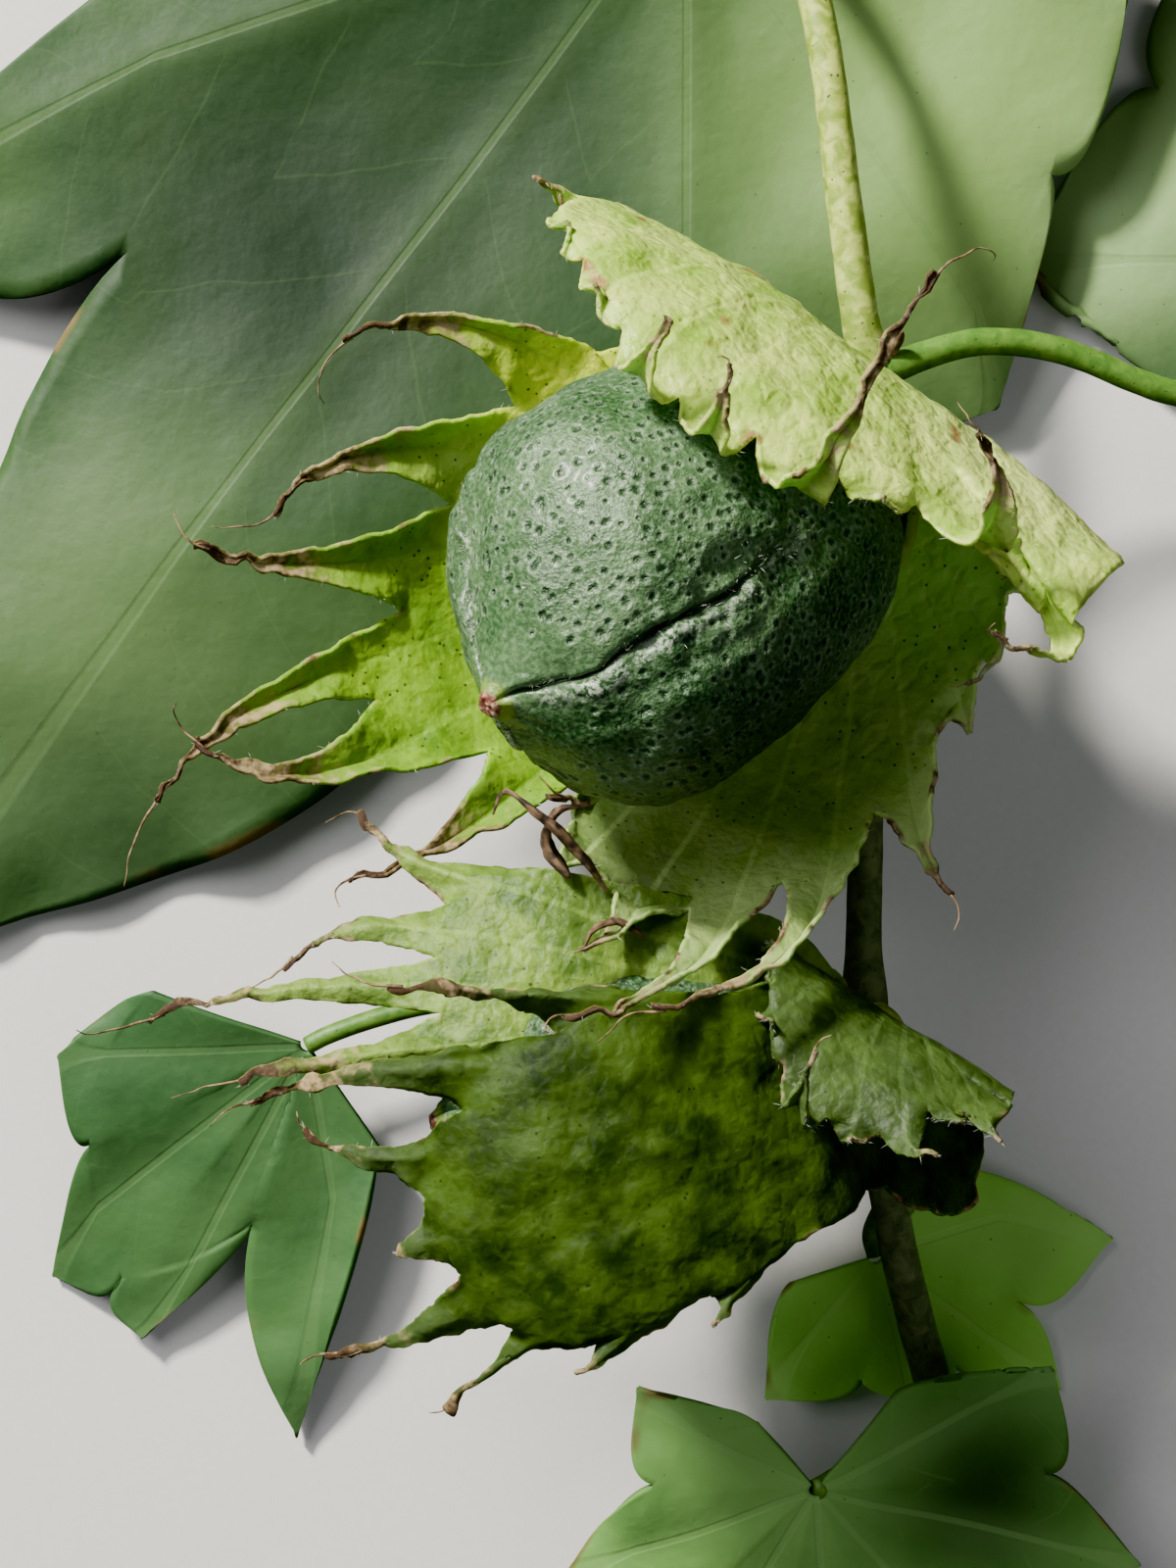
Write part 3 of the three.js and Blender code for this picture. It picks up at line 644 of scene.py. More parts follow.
def bract_tissue(name, fresh, pale, speck=0.7, rust=0.0, dry_from=0.35, lumpy=1.0, veins=0.3,
                 rough=0.46, shine=0.35, patches=()):
    """Leaf tissue of a bract: mottled in the blade, puckered between faint veins, dry at the tips, with
    patches laid over it, most of them painted light and shade.
    """
    look = Finish(name, Specular_IOR_Level=shine, **BRACT_GLOW)
    vein, tip, rim = (look.attribute(one) for one in ("vein", "tip", "rim"))
    broad, blotch, fine = look.noise(5, detail=3), look.noise(1.3, detail=3), look.noise(0.45, detail=3)
    main_vein = vein.rise(0.4, 0.1)
    light = stronger(pale, 1.3, 0.02)
    glands = look.specks(1.0).rise(0.17, 0.1) * look.noise(3).rise(0.35, 0.55)
    straw = look.coats(
        look.blend(blotch.rise(0.4, 0.62), STRAW_DARK, STRAW_PALE),
        ((tip + (fine - 0.5) * 0.4).rise(0.7, 0.95), STRAW_TIP))
    dry = (tip + (blotch - 0.5) * 0.8).rise(dry_from, dry_from + 0.3)
    rusty = rim.rise(0.5, 0.1) * look.noise(3.5).rise(0.54, 0.64)
    tissue = look.coats(
        look.blend(broad.rise(0.32, 0.68), fresh, pale),
        (blotch.rise(0.45, 0.7) * 0.4, pale),
        (blotch.rise(0.5, 0.3) * 0.3, stronger(fresh, 0.45)),
        # Patches, most of them painted light and shade.
        *((look.patch(spot, size) * 0.8, tint) for spot, size, tint in patches),
        (main_vein * veins, light),
        (glands * speck, GLAND_DARK),
        (look.noise(4.5, detail=1).rise(0.7, 0.76) * rust, RUST),
        (rim.rise(0.25, 0.05) * blotch.rise(0.35, 0.6) * 0.6, light),
        ((tip + (blotch - 0.5) * 0.5).rise(0.1, 0.35) * 0.6, stronger(pale, 0.75, 0.02)),
        (dry.most(rusty), straw))
    relief = look.relief(
        (look.specks(1.5, "DISTANCE_TO_EDGE").rise(0, 0.3), 0.4, 0.15 * lumpy),
        (1 - main_vein, veins, 0.08),
        (blotch, 0.7, 0.35 * lumpy),
        (fine, 0.5, 0.1 * lumpy))
    return look.wear(Base_Color=tissue, Normal=relief, Roughness=rough + dry * 0.4 + fine * 0.16)


# %% Finish of the leaves
LEAF_GLOW = {"Subsurface_Weight": 0.15, "Subsurface_Scale": 0.0015, "Subsurface_Radius": (0.6, 1, 0.25)}
LEAF_GLAND, LEAF_RUST = (0.02, 0.04, 0.015), (0.2, 0.12, 0.04)
SIDE_VEIN_SPACING = 12


def leaf_tissue(name, fresh, pale, vein_tint, patches=()):
    """Leaf blade with soft veins, a faint net between them, few glands and rusty edges, and patches of
    painted light and shade.
    """
    look = Finish(name, Specular_IOR_Level=0.3, **LEAF_GLOW)
    vein, along, rim = (look.attribute(one) for one in ("vein", "along", "rim"))
    broad, fine = look.noise(16, detail=4), look.noise(1.1, detail=4)
    wander = (look.noise(14) - 0.5) * 5
    main_vein, soft = vein.rise(0.5, 0.2), vein.rise(3, 0.2) * 0.15
    side = abs(((along - vein * 1.1 + wander) / SIDE_VEIN_SPACING).part() - 0.5).rise(0.02, 0.004)
    side = side * vein.rise(0.2, 1)
    net = look.specks(2.4, "DISTANCE_TO_EDGE").rise(0.06, 0.01)
    veins = (main_vein * 0.4).most(side * 0.12).most(net * 0.02)
    tissue = look.coats(
        look.blend(broad.rise(0.3, 0.7), fresh, pale),
        (fine.rise(0.4, 0.75) * 0.25, pale),
        (look.noise(38, detail=1).rise(0.6, 0.35) * 0.5, fresh),
        # Patches of painted light and shade.
        *((look.patch(spot, size) * 0.9, tint) for spot, size, tint in patches),
        (veins.most(soft) * 0.75, vein_tint),
        (look.specks(1.9).rise(0.07, 0.04) * 0.5, LEAF_GLAND),
        (rim.rise(0.7, 0.1) * look.noise(8).rise(0.56, 0.68) * 0.8, LEAF_RUST))
    relief = look.relief(
        (1 - main_vein.most(soft), 0.25, 0.3),
        (look.noise(3.5, detail=3), 0.35, 0.5),
        (fine, 0.25, 0.15))
    return look.wear(Base_Color=tissue, Normal=relief, Roughness=0.52 + fine * 0.12)


# %% Finish of the stem and the stalks
BARK_GLAND = (0.015, 0.015, 0.006)


def bark(name, fresh, pale, speck):
    """Smooth green bark with pale streaks and dark glands."""
    look = Finish(name, Coat_Roughness=0.3)
    streak, fine = look.noise(1.4, detail=4, Distortion=0.6), look.noise(0.3, detail=3)
    glands = look.specks(0.9).rise(0.15, 0.09) * look.noise(4).rise(0.38, 0.55)
    tint = look.coats(look.blend(streak.rise(0.35, 0.68), fresh, pale), (glands * speck, BARK_GLAND))
    relief = look.relief((fine, 0.4, 0.06), (1 - glands, 0.5, 0.06))
    return look.wear(Base_Color=tint, Normal=relief, Roughness=0.42 + fine * 0.2, Coat_Weight=0.1)


# %% Finish of dry bits and of hairs
def straw_finish(name, dark, light):
    look = Finish(name, Roughness=0.8)
    patch = look.noise(0.9, detail=3)
    tint = look.blend(patch.rise(0.35, 0.65), dark, light)
    return look.wear(Base_Color=tint, Normal=look.relief((patch, 0.5, 0.1)))


def hair_finish():
    look = Finish("fine hair", Roughness=0.45)
    return look.wear(Base_Color=look.blend(look.noise(2), (0.5, 0.55, 0.38), (0.85, 0.86, 0.78)))


# %% All the finishes
# Painted light and shade on the big leaves: lighter patches where light falls on them, darker ones
# where it doesn't.
LEAF_PAINTED_LIGHT_AND_SHADE = [
    ((-24, 48, 6), 36, (0.006, 0.022, 0.008)), ((-8, 62, 6), 26, (0.02, 0.05, 0.018)),
    ((34, 60, 6), 36, (0.26, 0.42, 0.12)), ((-44, 14, 6), 24, (0.09, 0.16, 0.05)),
    ((-42, -6, 4), 20, (0.035, 0.08, 0.025)), ((48, 50, 3), 14, (0.32, 0.48, 0.2)),
]
FINISHES = {
    "boll": boll_skin(BOLL_TINTS),
    # The lower bract's colours are painted lighter, as painted light shining through it in the boll's
    # shade. One patch adds painted shade, the other painted light.
    "bract lower": bract_tissue("lower bract", (0.3, 0.48, 0.11), (0.46, 0.62, 0.2), 0.8, dry_from=0.5,
                                patches=[((2, -6, 30), 17, (0.04, 0.08, 0.01)),
                                         ((29, 18, 24), 14, (0.5, 0.95, 0.22))]),
    # Painted light where light shines through the top of the left bract, and a smaller paler patch.
    "bract left": bract_tissue("left bract", (0.1, 0.23, 0.004), (0.22, 0.4, 0.012), 0.9, shine=0.22,
                               patches=[((-3.4, 35.5, 14), 21, (0.85, 1, 0.07)),
                                        ((-12, 28, 14), 9, (0.4, 0.55, 0.17))]),
    "bract upper": bract_tissue("upper bract", (0.3, 0.5, 0.04), (0.6, 0.8, 0.16), 0.5, rust=0.9,
                                lumpy=1.3, rough=0.34, patches=[((34, 23, 34), 17, (0.8, 0.97, 0.3))]),
    # The young front bract's colours are painted darker throughout, as painted shade.
    "bract young": bract_tissue("young bract", (0.011, 0.03, 0.003), (0.05, 0.1, 0.009), 0.8,
                                dry_from=0.5, lumpy=0.7, veins=0.08, shine=0.12),
    # Painted shade in a small patch where the withered petals lie on the upper young bract.
    "bract top": bract_tissue("upper young bract", (0.07, 0.15, 0.012), (0.22, 0.35, 0.045),
                              dry_from=0.5, lumpy=1.2, patches=[((2, -9, 33), 8, (0.05, 0.1, 0.01))]),
    "bract fold": bract_tissue("folded bract", (0.028, 0.06, 0.008), (0.07, 0.13, 0.02), dry_from=0.5),
    "calyx": bract_tissue("calyx", (0.22, 0.36, 0.06), (0.3, 0.44, 0.1)),
    "leaf": leaf_tissue("leaf", (0.02, 0.065, 0.014), (0.055, 0.12, 0.03), (0.13, 0.23, 0.07),
                        LEAF_PAINTED_LIGHT_AND_SHADE),
    "low leaf": leaf_tissue("low leaf", (0.03, 0.1, 0.025), (0.08, 0.19, 0.05), (0.13, 0.25, 0.08)),
    # The foot leaf's colours are painted lighter, as painted light, and a patch of painted shade
    # darkens its right side.
    "foot leaf": leaf_tissue("foot leaf", (0.12, 0.29, 0.06), (0.2, 0.42, 0.1), (0.26, 0.46, 0.15),
                             [((34, -61, 9), 17, (0.006, 0.02, 0.003))]),
    # The leaf behind the stem lies in the branch's shadow, so its colours are painted lighter, as
    # painted light.
    "leaf painted lighter": leaf_tissue("leaf painted lighter", (0.24, 0.6, 0.08), (0.36, 0.78, 0.14), (0.45, 0.8, 0.2)),
    "stem": bark("stem bark", (0.08, 0.12, 0.04), (0.17, 0.22, 0.08), 0.6),
    "stalk": bark("stalk bark", (0.26, 0.38, 0.04), (0.6, 0.7, 0.16), 0.8),
    "thin stalk": bark("thin stalk bark", (0.07, 0.19, 0.018), (0.14, 0.29, 0.035), 0.5),
    "straw": straw_finish("dry straw", (0.09, 0.05, 0.02), (0.36, 0.24, 0.12)),
    "withered": straw_finish("withered petal", (0.03, 0.017, 0.01), (0.2, 0.12, 0.06)),
    "hair": hair_finish(),
}
print("finishes:", len(FINISHES))

# %% [markdown]
# A boll is turned about its axis from an outline, so the mesh is a spin. Then every ring is pressed
# in along the three seams where the boll will split one day, its lobes swell unevenly beside the
# tip, and its skin is pitted by oil glands. The pits are real relief, because the light shows them.

# %% Shape of the bolls
BOLLS = {
    "open": {
        "centre": Vector((6, 17.2, 36)), "axis": Vector((-0.633, -0.509, 0.578)).normalized(),
        "length": 43, "diameter": 32, "seam": Vector((-0.1, -0.35, 0.94)), "rings": 200, "girth": 420,
    },
    "young": {
        "centre": Vector((4, -25.5, 27.5)), "axis": Vector((-0.95, -0.1, 0.24)).normalized(),
        "length": 34, "diameter": 24, "seam": Vector((0, 0.5, 0.86)), "rings": 120, "girth": 240,
    },
}
BOLL_OUTLINE = [
    (0, 0.2), (0.03, 0.42), (0.1, 0.7), (0.24, 0.93), (0.42, 1), (0.58, 0.96), (0.72, 0.83),
    (0.84, 0.6), (0.91, 0.38), (0.955, 0.2), (1, 0.1),
]
BOLL_SHARE_BEHIND = 0.49
SEAMS = 3
SEAM_DEPTH = 0.12
SEAM_WIDTH = math.radians(9)
SIDE_BULGE = 0.035
SWELLS = [
    # direction round the axis, share of the length, how far it spreads, share of the radius
    (math.radians(-77), 0.92, 0.23, 0.42), (math.radians(93), 0.74, 0.21, 0.17),
    (math.radians(158), 0.94, 0.14, -0.34),
]
TIP_PINCH = 0.5


def outline_at(share):
    """Share of the length and of the half width at a share of the way along the outline."""
    step = min(int(share * (len(BOLL_OUTLINE) - 1)), len(BOLL_OUTLINE) - 2)
    part = share * (len(BOLL_OUTLINE) - 1) - step
    places = (min(max(step + i, 0), len(BOLL_OUTLINE) - 1) for i in (-1, 0, 1, 2))
    before, start, end, after = (Vector(BOLL_OUTLINE[place]) for place in places)
    leave, arrive = (end - before) / 2, (after - start) / 2
    return ((2 * start - 2 * end + leave + arrive) * part ** 3
            + (3 * end - 3 * start - 2 * leave - arrive) * part ** 2 + leave * part + start)


def smooth(low, high, value):
    share = min(max((value - low) / (high - low), 0), 1)
    return share * share * (3 - 2 * share)


def bell(away, width):
    """1 where it is no way off, falling to nothing at a few times the width."""
    return math.exp(-(away / width) ** 2)


def seam_offset(around):
    """Angle to the nearest seam."""
    period = 2 * math.pi / SEAMS
    return around - period * round(around / period)


def seam_share(around, along):
    """Share of the radius, once the seams are pressed in and the uneven lobes beside the tip swell."""
    groove = bell(seam_offset(around), SEAM_WIDTH)
    beside = (1 + math.cos(SEAMS * around)) / 2
    swell = sum(amount * ((1 + math.cos(around - turn)) / 2) ** 2 * bell(along - place, spread)
                for turn, place, spread, amount in SWELLS)
    return 1 - SEAM_DEPTH * groove * max(along, 0) ** 1.5 - SIDE_BULGE * beside + swell


def boll_axes(boll):
    """The base of a boll and its three directions: to its first seam, across that, and to its tip."""
    axis = boll["axis"]
    first = (boll["seam"] - axis * boll["seam"].dot(axis)).normalized()
    base = boll["centre"] - axis * boll["length"] * BOLL_SHARE_BEHIND
    return base, first, axis.cross(first), axis


OUTLINE_STEPS = 200
OUTLINE_ALONG, OUTLINE_WIDE = zip(
    *(outline_at(step / OUTLINE_STEPS) for step in range(OUTLINE_STEPS + 1)))


def wide_at(along):
    """Share of the half width at a share of the length."""
    index = min(max(bisect.bisect_right(OUTLINE_ALONG, along), 1), OUTLINE_STEPS)
    low, high = OUTLINE_ALONG[index - 1], OUTLINE_ALONG[index]
    share = (along - low) / (high - low)
    return OUTLINE_WIDE[index - 1] + (OUTLINE_WIDE[index] - OUTLINE_WIDE[index - 1]) * share


def skin_spot(boll, along, around):
    """A place on the plain skin, before its pits and cracks."""
    base, first, second, axis = boll_axes(boll)
    size = wide_at(along) * boll["diameter"] / 2 * seam_share(around, along)
    out = first * math.cos(around) + second * math.sin(around)
    return base + axis * along * boll["length"] + out * size


# %% [markdown]
# Pits lie in loose rings round the boll, about as far from each other as from the next ring. The
# search tree then tells every vertex of the skin how far its nearest pit is, and the shader reads
# that distance too, so colour and relief fall on the same spots.

# %% Pits
PIT_SPACING = 1.34
PIT_LUCK = 0.4
PIT_SIZES = (0.13, 0.26)
PIT_DEPTH = 0.14
PIT_FAR = 4
PIT_LAST, PIT_LAST_LUCK = 0.93, 0.04
SEAM_ROOM, SEAM_START = 0.9, 0.45


def side_line(boll):
    """The outline of a boll in millimetres, walked by distance: away from the axis, and along it."""
    spots = [(wide * boll["diameter"] / 2, 0, along * boll["length"])
             for along, wide in zip(OUTLINE_ALONG, OUTLINE_WIDE)]
    return Route(spots, fine=1)


def scatter_pits(boll, luck):
    """A search tree of pits, and the size of each."""
    line = side_line(boll)
    spots = []
    for row in range(1, int(line.length / PIT_SPACING)):
        spot, _ = line.at(row * PIT_SPACING)
        count = max(3, round(2 * math.pi * spot.x / PIT_SPACING))
        for number in range(count):
            around = 2 * math.pi * (number + row % 2 / 2 + luck.uniform(-PIT_LUCK, PIT_LUCK)) / count
            along = (spot.z + luck.uniform(-PIT_LUCK, PIT_LUCK) * PIT_SPACING) / boll["length"]
            off_seam = abs(seam_offset(around)) * spot.x > SEAM_ROOM or along < SEAM_START
            if off_seam and 0 < along < PIT_LAST - luck.random() * PIT_LAST_LUCK:
                spots.append(skin_spot(boll, along, around))
    tree = kdtree.KDTree(len(spots))
    for index, spot in enumerate(spots):
        tree.insert(spot, index)
    tree.balance()
    return tree, [luck.uniform(*PIT_SIZES) for _ in spots]


# %% [markdown]
# The seams are cracks that wander a little and have ragged lips. They are deep near the tip and fade
# out before the boll is at its widest.

# %% Skin of the bolls
SEAM_WANDER, SEAM_RAGGED = 2.2, 0.35
SEAM_BENDS, SEAM_TEETH, LIP_TEETH = 4.5, 24, 36
SEAM_REACH, SEAM_ENDS = (0.34, 0.7), (1, 0.95)
CRACK_WIDTH, CRACK_DEPTH = 0.28, 0.85
LIP_PLACE, LIP_WIDTH, LIP_HEIGHT, LIP_LUCK = 0.8, 0.5, 0.28, 2.5
CREASE_PLACE, CREASE_WIDTH, CREASE_DEPTH = 3.2, 0.7, 0.3
SCAB_FROM, CALM_FROM, PINCH_FROM = (0.96, 1), (0.86, 0.93), (0.93, 1)
SCAB_ROUGH, SCAB_GRAIN = 0.16, 0.45
LUMP_SIZES = ((6, 0.3), (2.6, 0.25), (1.1, 0.09))
SEAM_LUMPS, NEAR_SEAM, NEAR_REACH = 1.4, 3, (0.2, 0.4)


def spin(shape, outline, steps):
    """Turns an outline about the upright axis. Its two ends lie on the axis."""
    line = [shape.verts.new(spot) for spot in outline]
    edges = [shape.edges.new(pair) for pair in zip(line, line[1:])]
    bmesh.ops.spin(shape, geom=line + edges, cent=(0, 0, 0), axis=(0, 0, 1), dvec=(0, 0, 0),
                   angle=2 * math.pi, steps=steps, use_merge=True)
    bmesh.ops.remove_doubles(shape, verts=shape.verts, dist=SAME_SPOT)


def from_seam(around, along, size):
    """Distance past the nearest seam in millimetres, and how ragged the seam is there."""
    number = round(around * SEAMS / (2 * math.pi)) % SEAMS
    shift = number * 7.3
    wander = SEAM_WANDER * noise.noise((along * SEAM_BENDS, shift + 0.4, 0)) * smooth(1, 0.85, along)
    wander += SEAM_RAGGED * noise.noise((along * SEAM_TEETH, shift, 5))
    away = seam_offset(around) * size - wander
    return away, noise.noise((along * LIP_TEETH, shift, math.copysign(3.1, away)))


def shape_boll(shape, boll, notes):
    """Presses the seams into a spun outline, swells its lobes, and takes it to its place."""
    base, first, second, axis = boll_axes(boll)
    for vert in shape.verts:
        along = vert.co.z / boll["length"]
        around = math.atan2(vert.co.y, vert.co.x)
        size = math.hypot(vert.co.x, vert.co.y)
        away, ragged = from_seam(around, along, size)
        deep = smooth(*SEAM_REACH, along) * smooth(*SEAM_ENDS, along)
        crack = bell(abs(away), CRACK_WIDTH * (1 + ragged)) * deep ** 2
        lip = bell(abs(away) - LIP_PLACE, LIP_WIDTH) * deep * (1 + LIP_LUCK * ragged)
        crease = bell(away + CREASE_PLACE + ragged * 0.5, CREASE_WIDTH) * deep
        vert[notes["seam"]], vert[notes["tip"]] = crack, smooth(*SCAB_FROM, along)
        vert[notes["near"]] = bell(away, NEAR_SEAM) * smooth(*NEAR_REACH, along)
        # Only the lip on one side of a seam is noted, for the painted highlight on it.
        vert[notes["lip"]] = lip * (away < 0)
        vert[notes["calm"]] = smooth(*CALM_FROM, along)
        size *= seam_share(around, along) * (1 - TIP_PINCH * smooth(*PINCH_FROM, along))
        size = max(size - CRACK_DEPTH * crack - CREASE_DEPTH * crease + LIP_HEIGHT * lip, 0)
        out = first * math.cos(around) + second * math.sin(around)
        vert.co = base + axis * along * boll["length"] + out * size


def pit_skin(shape, notes, tree, pit_sizes):
    """Dents each pit, with a low ring round it, and adds soft lumps and a rough dry tip."""
    moves = []
    for vert in shape.verts:
        smooth_skin = (1 - vert[notes["seam"]]) * (1 - vert[notes["tip"]])
        _, nearest, far = tree.find(vert.co)
        pit = min(far / pit_sizes[nearest], PIT_FAR)
        vert[notes["pit"]] = pit
        lumps = sum(noise.noise(vert.co / size) * height for size, height in LUMP_SIZES)
        lumps *= (1 + SEAM_LUMPS * vert[notes["near"]]) * (1 - 0.6 * vert[notes["calm"]])
        dent = bell(pit, 1.5) - 0.3 * math.exp(-(pit - 2.6) ** 2)
        rough = noise.noise(vert.co / SCAB_GRAIN) * SCAB_ROUGH * vert[notes["tip"]]
        moves.append(vert.normal * ((lumps - PIT_DEPTH * dent) * smooth_skin + rough))
    push(shape, moves)


def make_boll(name, boll):
    line = side_line(boll)
    tree, pit_sizes = scatter_pits(boll, random.Random(f"pits of {name}"))
    stations = [line.at(line.length * ring / boll["rings"])[0] for ring in range(boll["rings"] + 1)]
    end = stations[-1]
    shape = bmesh.new()
    cap = [(end.x * 0.66, 0, end.z), (end.x * 0.33, 0, end.z), (0, 0, end.z)]
    spin(shape, [(0, 0, 0), *stations, *cap], boll["girth"])
    notes = add_notes(shape, "seam", "pit", "tip", "near", "lip", "calm")
    shape_boll(shape, boll, notes)
    bmesh.ops.recalc_face_normals(shape, faces=shape.faces)
    shape.normal_update()
    pit_skin(shape, notes, tree, pit_sizes)
    print(name, "pits:", len(pit_sizes))
    settle(f"boll_{name}_skin", shape, FINISHES["boll"], f"boll_{name}")


for name, boll in BOLLS.items():
    make_boll(name, boll)


# %% [markdown]
# Whatever lies beside a boll has to stay outside it, so its outline also answers how far inside it a
# place is.

# %% Inside a boll or not
def in_boll(spot, room):
    """Whether a place is inside either boll, or closer to it than the room, which may be negative."""
    for boll in BOLLS.values():
        base, first, second, axis = boll_axes(boll)
        off = spot - base
        along = off.dot(axis) / boll["length"]
        if not -room / boll["length"] < along < 1:
            continue
        around = math.atan2(off.dot(second), off.dot(first))
        size = wide_at(along) * boll["diameter"] / 2 * seam_share(around, along) + room
        if (off - axis * off.dot(axis)).length < size:
            return True
    return False


def behind_boll(boll, back):
    """A place on the axis of a boll, so many millimetres behind its base."""
    return boll["centre"] - boll["axis"] * (boll["length"] * BOLL_SHARE_BEHIND + back)


# %% [markdown]
# The calyx is the small cup between the boll and its stalk. A spun outline makes it, and its brim
# waves up into five low lobes.

# %% Calyx
CALYX_WALL, CALYX_ROOM = 0.7, 0.3
CALYX_LOBES, BRIM_OUT, BRIM_UP, BRIM_HEIGHT = 5, 0.02, 0.5, 3
CALYX_STEPS, CALYX_GIRTH = range(9), 100


def make_calyx(name, boll):
    base, first, second, axis = boll_axes(boll)
    inside = [Vector((wide * boll["diameter"] / 2, along * boll["length"]))
              for along, wide in (outline_at(step / 40) for step in CALYX_STEPS)]
    wall = [(x + CALYX_ROOM, 0, y - CALYX_ROOM) for x, y in inside]
    outer = [(x + CALYX_WALL, 0, y - CALYX_WALL) for x, _, y in wall]
    shape = bmesh.new()
    outline = [(0, 0, outer[0][2]), *outer, *wall[::-1], (0, 0, wall[0][2])]
    spin(shape, outline, CALYX_GIRTH)
    bmesh.ops.recalc_face_normals(shape, faces=shape.faces)
    brim = wall[-1][2]
    notes = add_notes(shape, "vein", "tip", "rim")
    for vert in shape.verts:
        around = math.atan2(vert.co.y, vert.co.x)
        height = smooth(brim - BRIM_HEIGHT, brim, vert.co.z)
        wave = height * math.cos(CALYX_LOBES * around)
        out = 1 + BRIM_OUT * wave
        vert[notes["vein"]] = NO_VEIN
        vert[notes["rim"]] = 3 * (1 - height)
        vert.co = (base + first * vert.co.x * out + second * vert.co.y * out
                   + axis * (vert.co.z + BRIM_UP * wave))
    settle(f"calyx_{name}_cup", shape, FINISHES["calyx"], f"calyx_{name}")


for name, boll in BOLLS.items():
    make_calyx(name, boll)

# %% [markdown]
# The main stem, with a swollen node where each boll and leaf leaves it, and the stalks of the bolls.

# %% Stem and the stalks of the bolls
STEM_PATH = [
    (36, -68, 1.9), (30.5, -52.9, 5), (25.8, -34.7, 11), (23.7, -19.2, 15.2),
    (23.6, -4, 16.8), (23.9, 16.6, 17.6), (24.3, 34.4, 18),
]
STEM_FOOT, STEM_TOP = 1.75, 1.35
KNOTS = ((1, 0.5), (0.5, 0.45))
KNOT_SPREAD = 0.03
PEDICELS = {
    "open": [(24.3, 33.5, 18.4), (23.8, 32, 20), behind_boll(BOLLS["open"], 3.4),
             behind_boll(BOLLS["open"], 1)],
    "young": [(23.7, -19.2, 15.4), (25.4, -20.6, 18.5), (25, -22.8, 21.6),
              behind_boll(BOLLS["young"], 3.4), behind_boll(BOLLS["young"], 1)],
}


def stem_radius(along):
    knots = sum(size * bell(along - place, KNOT_SPREAD) for place, size in KNOTS)
    return STEM_FOOT + (STEM_TOP - STEM_FOOT) * along + knots


def stalk_radius(along):
    """The stalk of a boll, which widens where the calyx sits."""
    return 1.3 + 0.1 * along + 1.5 * max(0, (along - 0.8) / 0.2) ** 2


def make_limb(name, finish, slot, path, radius, node=None, **more):
    """One tube as a piece of its own."""
    shape = bmesh.new()
    add_limb(shape, path, radius, **more)
    close_ends(shape)
    settle(name, shape, FINISHES[finish], node)


make_limb("main_stem_bark", "stem", "stem", STEM_PATH, stem_radius, "main_stem", steps=220, rough=0.05)
for name, path in PEDICELS.items():
    make_limb(f"pedicel_{name}_stalk", "stalk", "stalk", path, stalk_radius, f"pedicel_{name}")

PEDICEL_SPOTS = [spot for path in PEDICELS.values() for spot, *_ in walk(Route(path), 30)]


def in_pedicel(spot, room=1.75):
    return any((spot - other).length < room for other in PEDICEL_SPOTS)


# %% [markdown]
# Bracts are the toothed leaves that wrap a boll. Each has a spine that starts at the stalk, a few
# smooth corners beside its base, called ears, and its teeth as angle, reach of the margin there,
# length, curl and sweep. What would lie inside a boll or a stalk is cut away.
#
# Noise that gives a direction starts from the clock, unless it has a seed. With one, the rims and
# the dry tips crinkle the same way in every run.

# %% Bract
BRACT_THICKNESS = 0.36
BRACT_INNER = 2.2
BRACT_ROWS, TOOTH_ROWS, TOOTH_COLUMNS = 40, 44, 14
BUCKLES = ((6, 0.4), (2.2, 0.2))
RIM_WAVE, NIBBLED, DRIED = 0.4, 0.16, 0.75
HIDDEN_DEPTH = 0.8
RIM_HAIRS = 0.12
HAIRS = []
NOISE_SEED = 1
noise.seed_set(NOISE_SEED)


def bract_sectors(left, teeth, right, taper):
    """One sector for each ear and each tooth, between neighbouring corners of the margin."""
    valleys = [((a + c) / 2, (b + d) / 2) for (a, b, *_), (c, d, *_) in zip(teeth, teeth[1:])]
    corners = [*reversed(left), *valleys, *right]
    sectors = []
    for index, (start, end) in enumerate(zip(corners, corners[1:])):
        number = index - len(left) + 1
        sector = {"from": start, "to": end, "columns": TOOTH_COLUMNS, "extra": 0}
        if 0 <= number < len(teeth):
            sector.update(extra=TOOTH_ROWS, beyond=tooth, point=teeth[number][2:], taper=taper)
        sectors.append(sector)
    return sectors


def crinkle(shape, notes, seed, depth=1.0):
    """Small relief that the solid leaves out: soft buckles, wavy rims, and tips that dried up."""
    shift = Vector((seed * 17.3, seed * 5.1, 0))
    moves = []
    for vert in shape.verts:
        place = vert.co + shift
        tip, rim = vert[notes["tip"]], vert[notes["rim"]]
        lift = sum(height * noise.noise(place / size) for size, height in BUCKLES)
        lift += RIM_WAVE * math.exp(-rim / 0.8) * noise.noise(place / 2.2)
        lift *= smooth(2, 15, vert[notes["along"]])
        nibbled = noise.noise_vector(place / 0.55) * NIBBLED * math.exp(-rim / 0.2)
        dried = noise.noise_vector(place / 1.9) * DRIED * smooth(0.3, 0.95, tip)
        moves.append(vert.normal * lift * depth + nibbled + dried)
    push(shape, moves)


def grow_rim_hairs(shape, luck):
    """Notes a few places along the rim where a hair stands, and which way it points."""
    for vert in shape.verts:
        if vert.is_boundary and luck.random() < RIM_HAIRS:
            inward = sum((edge.other_vert(vert).co for edge in vert.link_edges), Vector())
            away = vert.co - inward / len(vert.link_edges)
            HAIRS.append((vert.co.copy(), away.normalized() + vert.normal * luck.uniform(-0.8, 0.8)))


